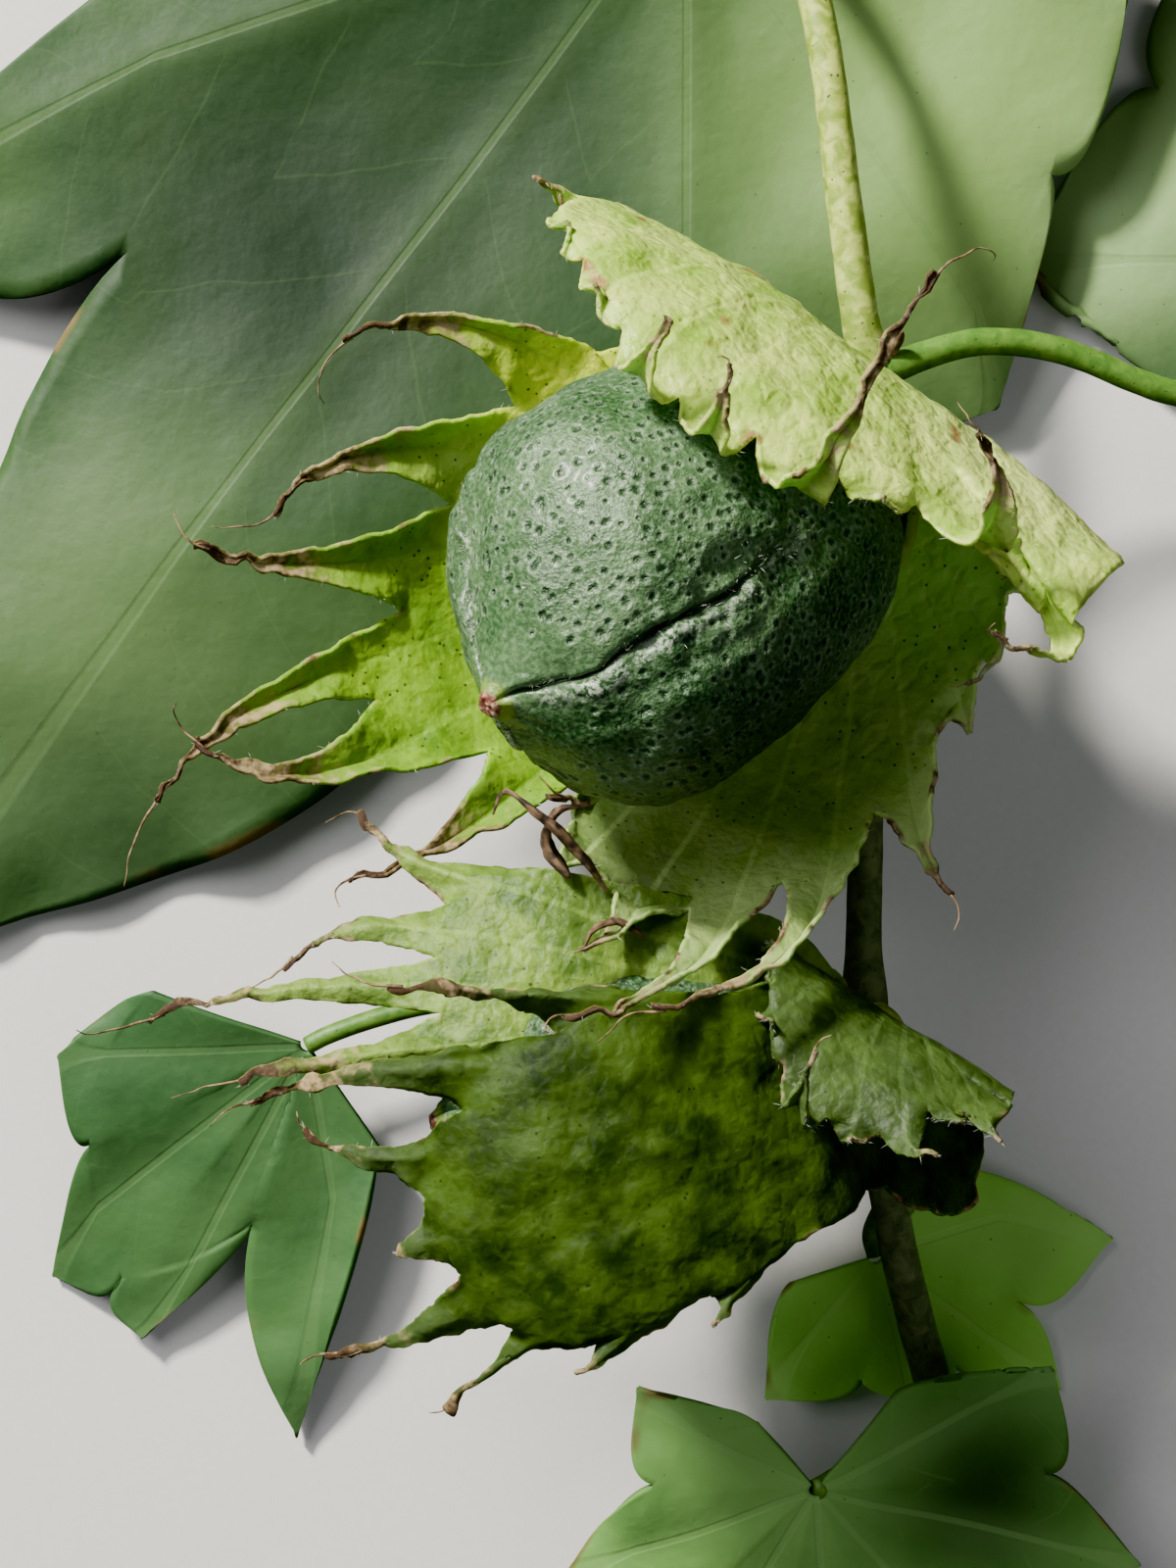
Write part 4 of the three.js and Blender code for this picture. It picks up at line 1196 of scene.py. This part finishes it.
def make_bract(name, finish, seed, left, teeth, right, depth=1.0, taper=1.9, **pose):
    shape = bmesh.new()
    sectors = bract_sectors(left, teeth, right, taper)
    notes = add_blade(shape, lie(**pose), sectors, BRACT_INNER, BRACT_ROWS)
    crinkle(shape, notes, seed, depth)
    grow_rim_hairs(shape, random.Random(seed))
    hidden = [vert for vert in shape.verts if in_boll(vert.co, -HIDDEN_DEPTH) or in_pedicel(vert.co)]
    bmesh.ops.delete(shape, geom=hidden, context="VERTS")
    piece = settle(f"{name}_blade", shape, FINISHES[finish], name)
    thicken(piece, BRACT_THICKNESS)
    return [(*sector["tip"], sector["long"]) for sector in sectors if sector["extra"]]


BRACTS = {
    "bract_open_low": {
        "finish": "bract lower", "seed": 1,
        "spine": [(21, 28.4, 21.8), (22, 22, 19.8), (22, 12, 21.2), (20, 0, 25), (17.5, -11, 34.5)],
        "across": (-0.94, 0.09, -0.33), "wrap": (0, 0.012),
        "left": [(-53, 17), (-75, 15), (-95, 10)],
        "teeth": [
            (-47, 19, 2.5, 0, 0), (-36, 20, 8, 60, 90), (-25, 23, 3, 0, 0), (-13, 28.5, 13, 10, -30),
            (-1, 37.5, 28, 22, 72), (8, 43.5, 24, 26, 50), (17, 46, 9, 20, 20),
            (26, 44.5, 6, 20, 0), (35, 37, 4, 60, 0),
        ],
        "right": [(42, 30), (60, 20), (80, 12)],
    },
    "bract_open_left": {
        "finish": "bract left", "seed": 2,
        "spine": [
            (20.4, 28.6, 22), (17.2, 26.6, 17), (9.5, 20.8, 13.8), (-4, 16.5, 13.6), (-18, 12, 18),
        ],
        "across": (-0.309, 0.951, 0), "wrap": (0.012, 0.03),
        "left": [(-48, 29), (-62, 22), (-80, 12)],
        "teeth": [
            (-43, 32, 9, 60, -60), (-33, 34, 12, 60, 40), (-24, 34, 21, 0, 30),
            (-9, 50, 22, 5, 70), (-2, 46, 25, 5, -40), (7, 40, 21, 10, 25),
            (22, 35, 20, 10, -60), (36, 31, 21, 10, -60),
        ],
        "right": [(46, 26), (65, 18), (85, 11)],
    },
    "bract_open_top": {
        "finish": "bract upper", "seed": 3, "depth": 1.5, "taper": 2,
        "spine": [
            (20.6, 29.8, 22.6), (23.8, 33.4, 29), (18.8, 34.2, 40), (14.5, 29.5, 48.5),
            (12.5, 23.5, 51.5),
        ],
        "across": (0.815, -0.58, 0), "wrap": (0.008, 0.014),
        "left": [(-56, 28), (-70, 19), (-88, 11)],
        "teeth": [
            (-50, 34, 6, 0, 0), (-38, 33.5, 1.2, -60, 0), (-27, 34, 1.5, -60, 0),
            (-17, 34.8, 7, -140, 0), (-6, 35.4, 9, -130, -20), (4, 35.6, 27, -140, 20),
            (15, 37, 1.2, -60, 0), (25.5, 39.5, 12, -150, -40), (36, 40.5, 2.5, -140, 0),
            (48, 39, 10, -140, -30),
        ],
        "right": [(56, 36), (70, 28), (88, 14)],
    },
    "bract_young_front": {
        "finish": "bract young", "seed": 4, "depth": 1.6, "taper": 2.6,
        "spine": [
            (24, -25.2, 26.6), (21.6, -25.5, 30), (18.3, -26, 37), (10, -28, 42), (1, -31.5, 44),
            (-8, -35, 42), (-14, -37.5, 38.5),
        ],
        "across": (0.342, -0.94, 0), "wrap": (0.01, 0.03),
        "left": [(-33, 20), (-52, 12), (-78, 8), (-105, 7)],
        "teeth": [
            (-28, 29, 20, 0, 0), (-18, 37, 22, 0, 20), (-9, 46, 13, 0, -50), (-1, 46, 5, 0, 0),
            (7, 44, 16, 0, -20), (13, 43, 11, 0, 10), (18.5, 36, 6, 0, 0), (24.5, 26, 5, 0, 0),
        ],
        "right": [(30, 18), (45, 10), (72, 8), (105, 11), (135, 16), (158, 15)],
    },
    "bract_young_top": {
        "finish": "bract top", "seed": 5,
        "spine": [
            (21.4, -21.6, 24.4), (18.2, -18.5, 28.5), (12, -15.5, 32), (3, -14.2, 33.5),
            (-6, -12, 33.5), (-13, -11, 32),
        ],
        "across": (-0.4, -0.85, 0.3), "wrap": (0.01, 0.01),
        "left": [(-10, 33), (-20, 16), (-36, 7), (-55, 4)],
        "teeth": [(-6, 38, 13, 0, -40), (1, 38.5, 14, 0, 60), (8, 38, 24, 0, 20), (15, 37, 20, 0, 10)],
        "right": [(20, 30), (28, 19), (45, 12), (70, 8)],
    },
    "bract_young_fold": {
        "finish": "bract fold", "seed": 6,
        "spine": [
            (22.4, -23, 25), (24.4, -19.6, 28), (22.3, -18, 34.5), (19.5, -21.5, 39.5), (18, -26, 41.5),
        ],
        "across": (0.84, -0.54, 0.2), "wrap": (0, 0),
        "left": [(-41, 14), (-65, 10), (-90, 7)],
        "teeth": [
            (-33, 15, 2, -60, 0), (-16, 19, 2, -60, 0), (-4, 23.5, 8, -140, 0), (7, 24.5, 2, -60, 0),
            (16, 24.5, 6, -60, 60), (25, 21, 2, 0, 0), (35, 23.5, 2.5, 0, 0),
        ],
        "right": [(41, 21), (62, 14), (88, 8)],
    },
}
TIPS = {name: make_bract(name, **bract) for name, bract in BRACTS.items()}

# %% [markdown]
# Long teeth end in a brown thread that dried and curled as it wished. Each is a thin limb that starts
# inside the tip of its tooth. Luck is seeded, so that every run grows the same threads. Withered
# petals cling in the gap between the bolls, and a small dry bud sits at the top node.

# %% Dry threads and withered bits
THREAD_LEAST_TOOTH = 8
THREAD_STEPS = 7
THREAD_SIZE = 0.13
THREAD_SHARES, THREAD_BEND, THREAD_WANDER, THREAD_SUNK = (0.16, 0.34), 130, 0.28, 1.2
WITHERED = {
    # name: greatest radius and route
    "long": (0.36, [(1.6, -8.6, 33), (-1, -5.2, 35), (-4, -2.4, 36.6), (-6.6, -0.6, 35.8),
                    (-7.6, -2.4, 34.4)]),
    "short": (0.42, [(-1.5, -7.6, 33.6), (-3.4, -4.6, 33.8), (-2.4, -2.2, 35), (0, -1.6, 36.4)]),
    "curl": (0.3, [(4.4, -12.2, 34), (2.2, -11, 35.4), (0.4, -11.6, 36.6), (-0.4, -13.2, 36.8)]),
}
BUD_PATH = [(24.4, 35.6, 18.2), (25.4, 36.6, 19), (26.1, 37.4, 19.8), (26.4, 38, 20.8)]
BUD_SIZE = 0.9


def any_way(luck):
    """A step in any direction, up to 1 each way."""
    return Vector((luck.uniform(-1, 1), luck.uniform(-1, 1), luck.uniform(-1, 1)))


def add_thread(shape, start, ahead, side, length, luck):
    """Adds a dry thread that curls off from a tip."""
    path = [start - ahead * THREAD_SUNK]
    spot, heading = start.copy(), ahead.copy()
    bend = math.radians(luck.uniform(-THREAD_BEND, THREAD_BEND)) / THREAD_STEPS
    for _ in range(THREAD_STEPS):
        path.append(spot.copy())
        heading.rotate(Quaternion(side, bend))
        heading += any_way(luck) * THREAD_WANDER
        heading.normalize()
        spot += heading * length / THREAD_STEPS
    add_limb(shape, path, lambda along: THREAD_SIZE * (1 - 0.7 * along), steps=28, girth=6, rough=0.5)


luck = random.Random("threads")
shape = bmesh.new()
for tips in TIPS.values():
    for start, side, front, ahead, long in tips:
        if long >= THREAD_LEAST_TOOTH:
            add_thread(shape, start, ahead, side.lerp(front, luck.random()).normalized(),
                       luck.uniform(*THREAD_SHARES) * long, luck)
close_ends(shape)
settle("dry_threads", shape, FINISHES["straw"])

for name, (size, path) in WITHERED.items():
    make_limb(f"withered_petal_{name}", "withered", "bract", path,
              lambda along, size=size: size * (0.25 + 0.75 * math.sin(math.pi * along ** 0.6)),
              steps=60, girth=14, rough=1)
make_limb("side_bud", "straw", "stem", BUD_PATH,
          lambda along: BUD_SIZE * math.sqrt(max(1 - along, 0.01)), steps=40, rough=0.35)

# %% [markdown]
# Fine pale hairs stand along the rims of the bracts and in the seams of the bolls. Each is a cone of
# three sides, because there are well over a thousand of them.

# %% Hairs
HAIR_LENGTHS = (0.3, 0.75)
HAIR_SIZE = 0.026
HAIR_SUNK = 0.06
SEAM_HAIRS = 150
SEAM_HAIR_PLACES, SEAM_HAIR_SPREAD = (0.42, 0.95), 0.06


def add_hair(shape, root, direction, length):
    """Adds one hair, with its foot sunk a little into what it grows on."""
    direction = direction.normalized()
    turn = Vector((0, 0, 1)).rotation_difference(direction).to_matrix().to_4x4()
    place = Matrix.Translation(root + direction * (length / 2 - HAIR_SUNK)) @ turn
    bmesh.ops.create_cone(shape, cap_ends=True, segments=3, radius1=HAIR_SIZE, radius2=HAIR_SIZE / 5,
                          depth=length, matrix=place)


luck = random.Random("hairs")
for boll in BOLLS.values():
    for number in range(SEAMS * SEAM_HAIRS):
        around = number % SEAMS * 2 * math.pi / SEAMS + luck.gauss(0, SEAM_HAIR_SPREAD)
        root = skin_spot(boll, luck.uniform(*SEAM_HAIR_PLACES), around)
        HAIRS.append((root, (root - boll["centre"]).normalized() + any_way(luck) * 0.8))
shape = bmesh.new()
for root, direction in HAIRS:
    add_hair(shape, root, direction, luck.uniform(*HAIR_LENGTHS))
print("hairs:", len(HAIRS))
settle("fine_hairs", shape, FINISHES["hair"])

# %% [markdown]
# The leaves lie on the ground. Each is let down until it touches, and its stalk is then led to where
# its base has come to lie.

# %% Leaves
LEAF_THICKNESS = 0.7
LEAF_INNER = 0.6
LEAF_ROWS, LOBE_ROWS, LOBE_COLUMNS = 36, 30, 20
QUILT, QUILT_REACH = 0.35, 2.2
SWAY, RUFFLE, RUFFLE_REACH = 0.9, 1.1, 2.5
LEAVES = {
    "leaf_top": {
        "finish": "leaf", "seed": 1,
        "spine": [(8.6, 79.4, 9), (-10, 55, 5), (-32, 26, 6), (-60, -12, 2)],
        "across": (0.79, -0.61, 0), "wrap": (0.002, 0.004), "wave": (1.2, 9),
        "lobes": [(-84, 48), (-31, 82), (0, 119), (42, 78), (68, 54), (124, 40)],
        "notches": [(-112, 24), (-50, 40), (-19.5, 59), (19.5, 72), (55, 50), (88, 41), (145, 18)],
    },
    "leaf_left": {
        "finish": "low leaf", "seed": 2,
        "spine": [(-24.7, -23, 7), (-31, -34, 5.5), (-40, -50, 2)],
        "across": (0.866, -0.5, 0), "wrap": (0, 0.01), "wave": (0.8, 7),
        "lobes": [(-58, 22), (-18, 32), (0, 31), (27, 36)],
        "notches": [(-80, 14), (-36, 21), (-9, 27), (12, 17), (64, 11)],
    },
    "leaf_foot": {
        "finish": "foot leaf", "seed": 3,
        "spine": [(19.7, -61, 11), (20.5, -72, 8.5), (22.5, -94, 2)],
        "across": (0.996, 0.087, 0), "wrap": (0.006, 0.012), "wave": (0.8, 7),
        "lobes": [(-124, 18), (-72, 24), (-35, 34), (0, 42), (35, 38), (70, 30), (112, 23)],
        "notches": [(-146, 8), (-98, 14), (-52, 19), (-17, 24), (17, 26), (53, 25), (88, 20),
                    (138, 11)],
    },
    "leaf_behind": {
        "finish": "leaf painted lighter", "seed": 4,
        "spine": [(25.5, -42, 3), (33, -47, 2.5), (42, -54, 1)],
        "across": (-0.57, -0.82, 0), "wrap": (0, 0.01), "wave": (0.4, 7),
        "lobes": [(-40, 21), (0, 21), (40, 14), (94, 16)],
        "notches": [(-85, 10), (-17, 13), (20, 12), (62, 11), (130, 8)],
    },
    "leaf_right": {
        "finish": "leaf", "seed": 5,
        "spine": [(69, 46, 7), (58, 52, 5), (42, 60, 1)],
        "across": (0.46, 0.888, 0), "wrap": (0, 0.01), "wave": (0.6, 7),
        "lobes": [(-26, 31), (38, 34), (90, 26)],
        "notches": [(-66, 18), (14, 24), (60, 19), (125, 12)],
    },
}


def make_leaf(name, finish, seed, lobes, notches, **pose):
    shape = bmesh.new()
    sectors = [{"from": start, "to": end, "columns": LOBE_COLUMNS, "extra": LOBE_ROWS,
                "beyond": pointed_lobe, "point": lobe}
               for start, end, lobe in zip(notches, notches[1:], lobes)]
    notes = add_blade(shape, lie(**pose), sectors, LEAF_INNER, LEAF_ROWS)
    shift = Vector((seed * 31.7, 0, 0))
    moves = []
    for vert in shape.verts:
        place = vert.co + shift
        lift = QUILT * (1 - bell(vert[notes["vein"]], QUILT_REACH)) + SWAY * noise.noise(place / 11)
        lift += RUFFLE * math.exp(-vert[notes["rim"]] / RUFFLE_REACH) * noise.noise(place / 6)
        moves.append(vert.normal * lift)
    push(shape, moves)
    lowest = min(vert.co.z for vert in shape.verts) - LEAF_THICKNESS / 2
    bmesh.ops.translate(shape, verts=shape.verts, vec=(0, 0, -lowest))
    piece = settle(f"{name}_blade", shape, FINISHES[finish], name)
    thicken(piece, LEAF_THICKNESS)
    return Vector(pose["spine"][0]) - Vector((0, 0, lowest))


LEAF_BASES = {name: make_leaf(name, **leaf) for name, leaf in LEAVES.items()}

# %% Leaf stalks
STALK_FOOT, STALK_FOOT_LONG = 0.25, 0.04
STALKS = {
    # leaf: route from the stem, then the last points off the leaf's base, radii, finish
    "leaf_top": (
        [(24, 35.6, 18.4), (23.2, 38, 19), (21.6, 48.3, 20.4), (19.4, 64, 21), (17, 73, 19),
         (13.8, 79.5, 13.5)], (1.8, 1.4, 0.6), (1.6, 1.25), "stalk"),
    "leaf_left": (
        [(23, -20, 14.4), (14, -19, 10.5), (0, -18.5, 8), (-14, -19.4, 6.8)],
        (2, 1, 0.2), (1.1, 0.8), "thin stalk"),
    "leaf_behind": (
        [(24.2, -21, 13.6), (27.5, -26, 9.5), (27.5, -34, 5.5)],
        (-0.4, 2, 0.3), (0.9, 0.7), "thin stalk"),
    "leaf_right": (
        [(24.9, 35, 18.2), (33, 37.6, 16.5), (40, 37.2, 15), (50, 33.8, 13), (60, 33, 11),
         (68, 37, 8.5)], (1, -2, 0.2), (1.2, 1), "thin stalk"),
    "leaf_foot": (
        [(33, -61, 3.4), (28, -61, 4.6), (23, -60.6, 6.6)], (0.8, 0.2, -1), (1.1, 0.9), "thin stalk"),
}
for name, (path, last, (foot, top), finish) in STALKS.items():

    def radius(along, foot=foot, top=top):
        return foot + (top - foot) * along + STALK_FOOT * math.exp(-along / STALK_FOOT_LONG)

    base = LEAF_BASES[name]
    node = name.replace("leaf", "petiole")
    make_limb(f"{node}_stalk", finish, "stalk", [*path, base + Vector(last), base], radius, node,
              steps=110, rough=0.06)

# %% [markdown]
# The number of pieces made is printed at the end.

# %% Count of the pieces and the end
print("pieces:", len(PIECES))
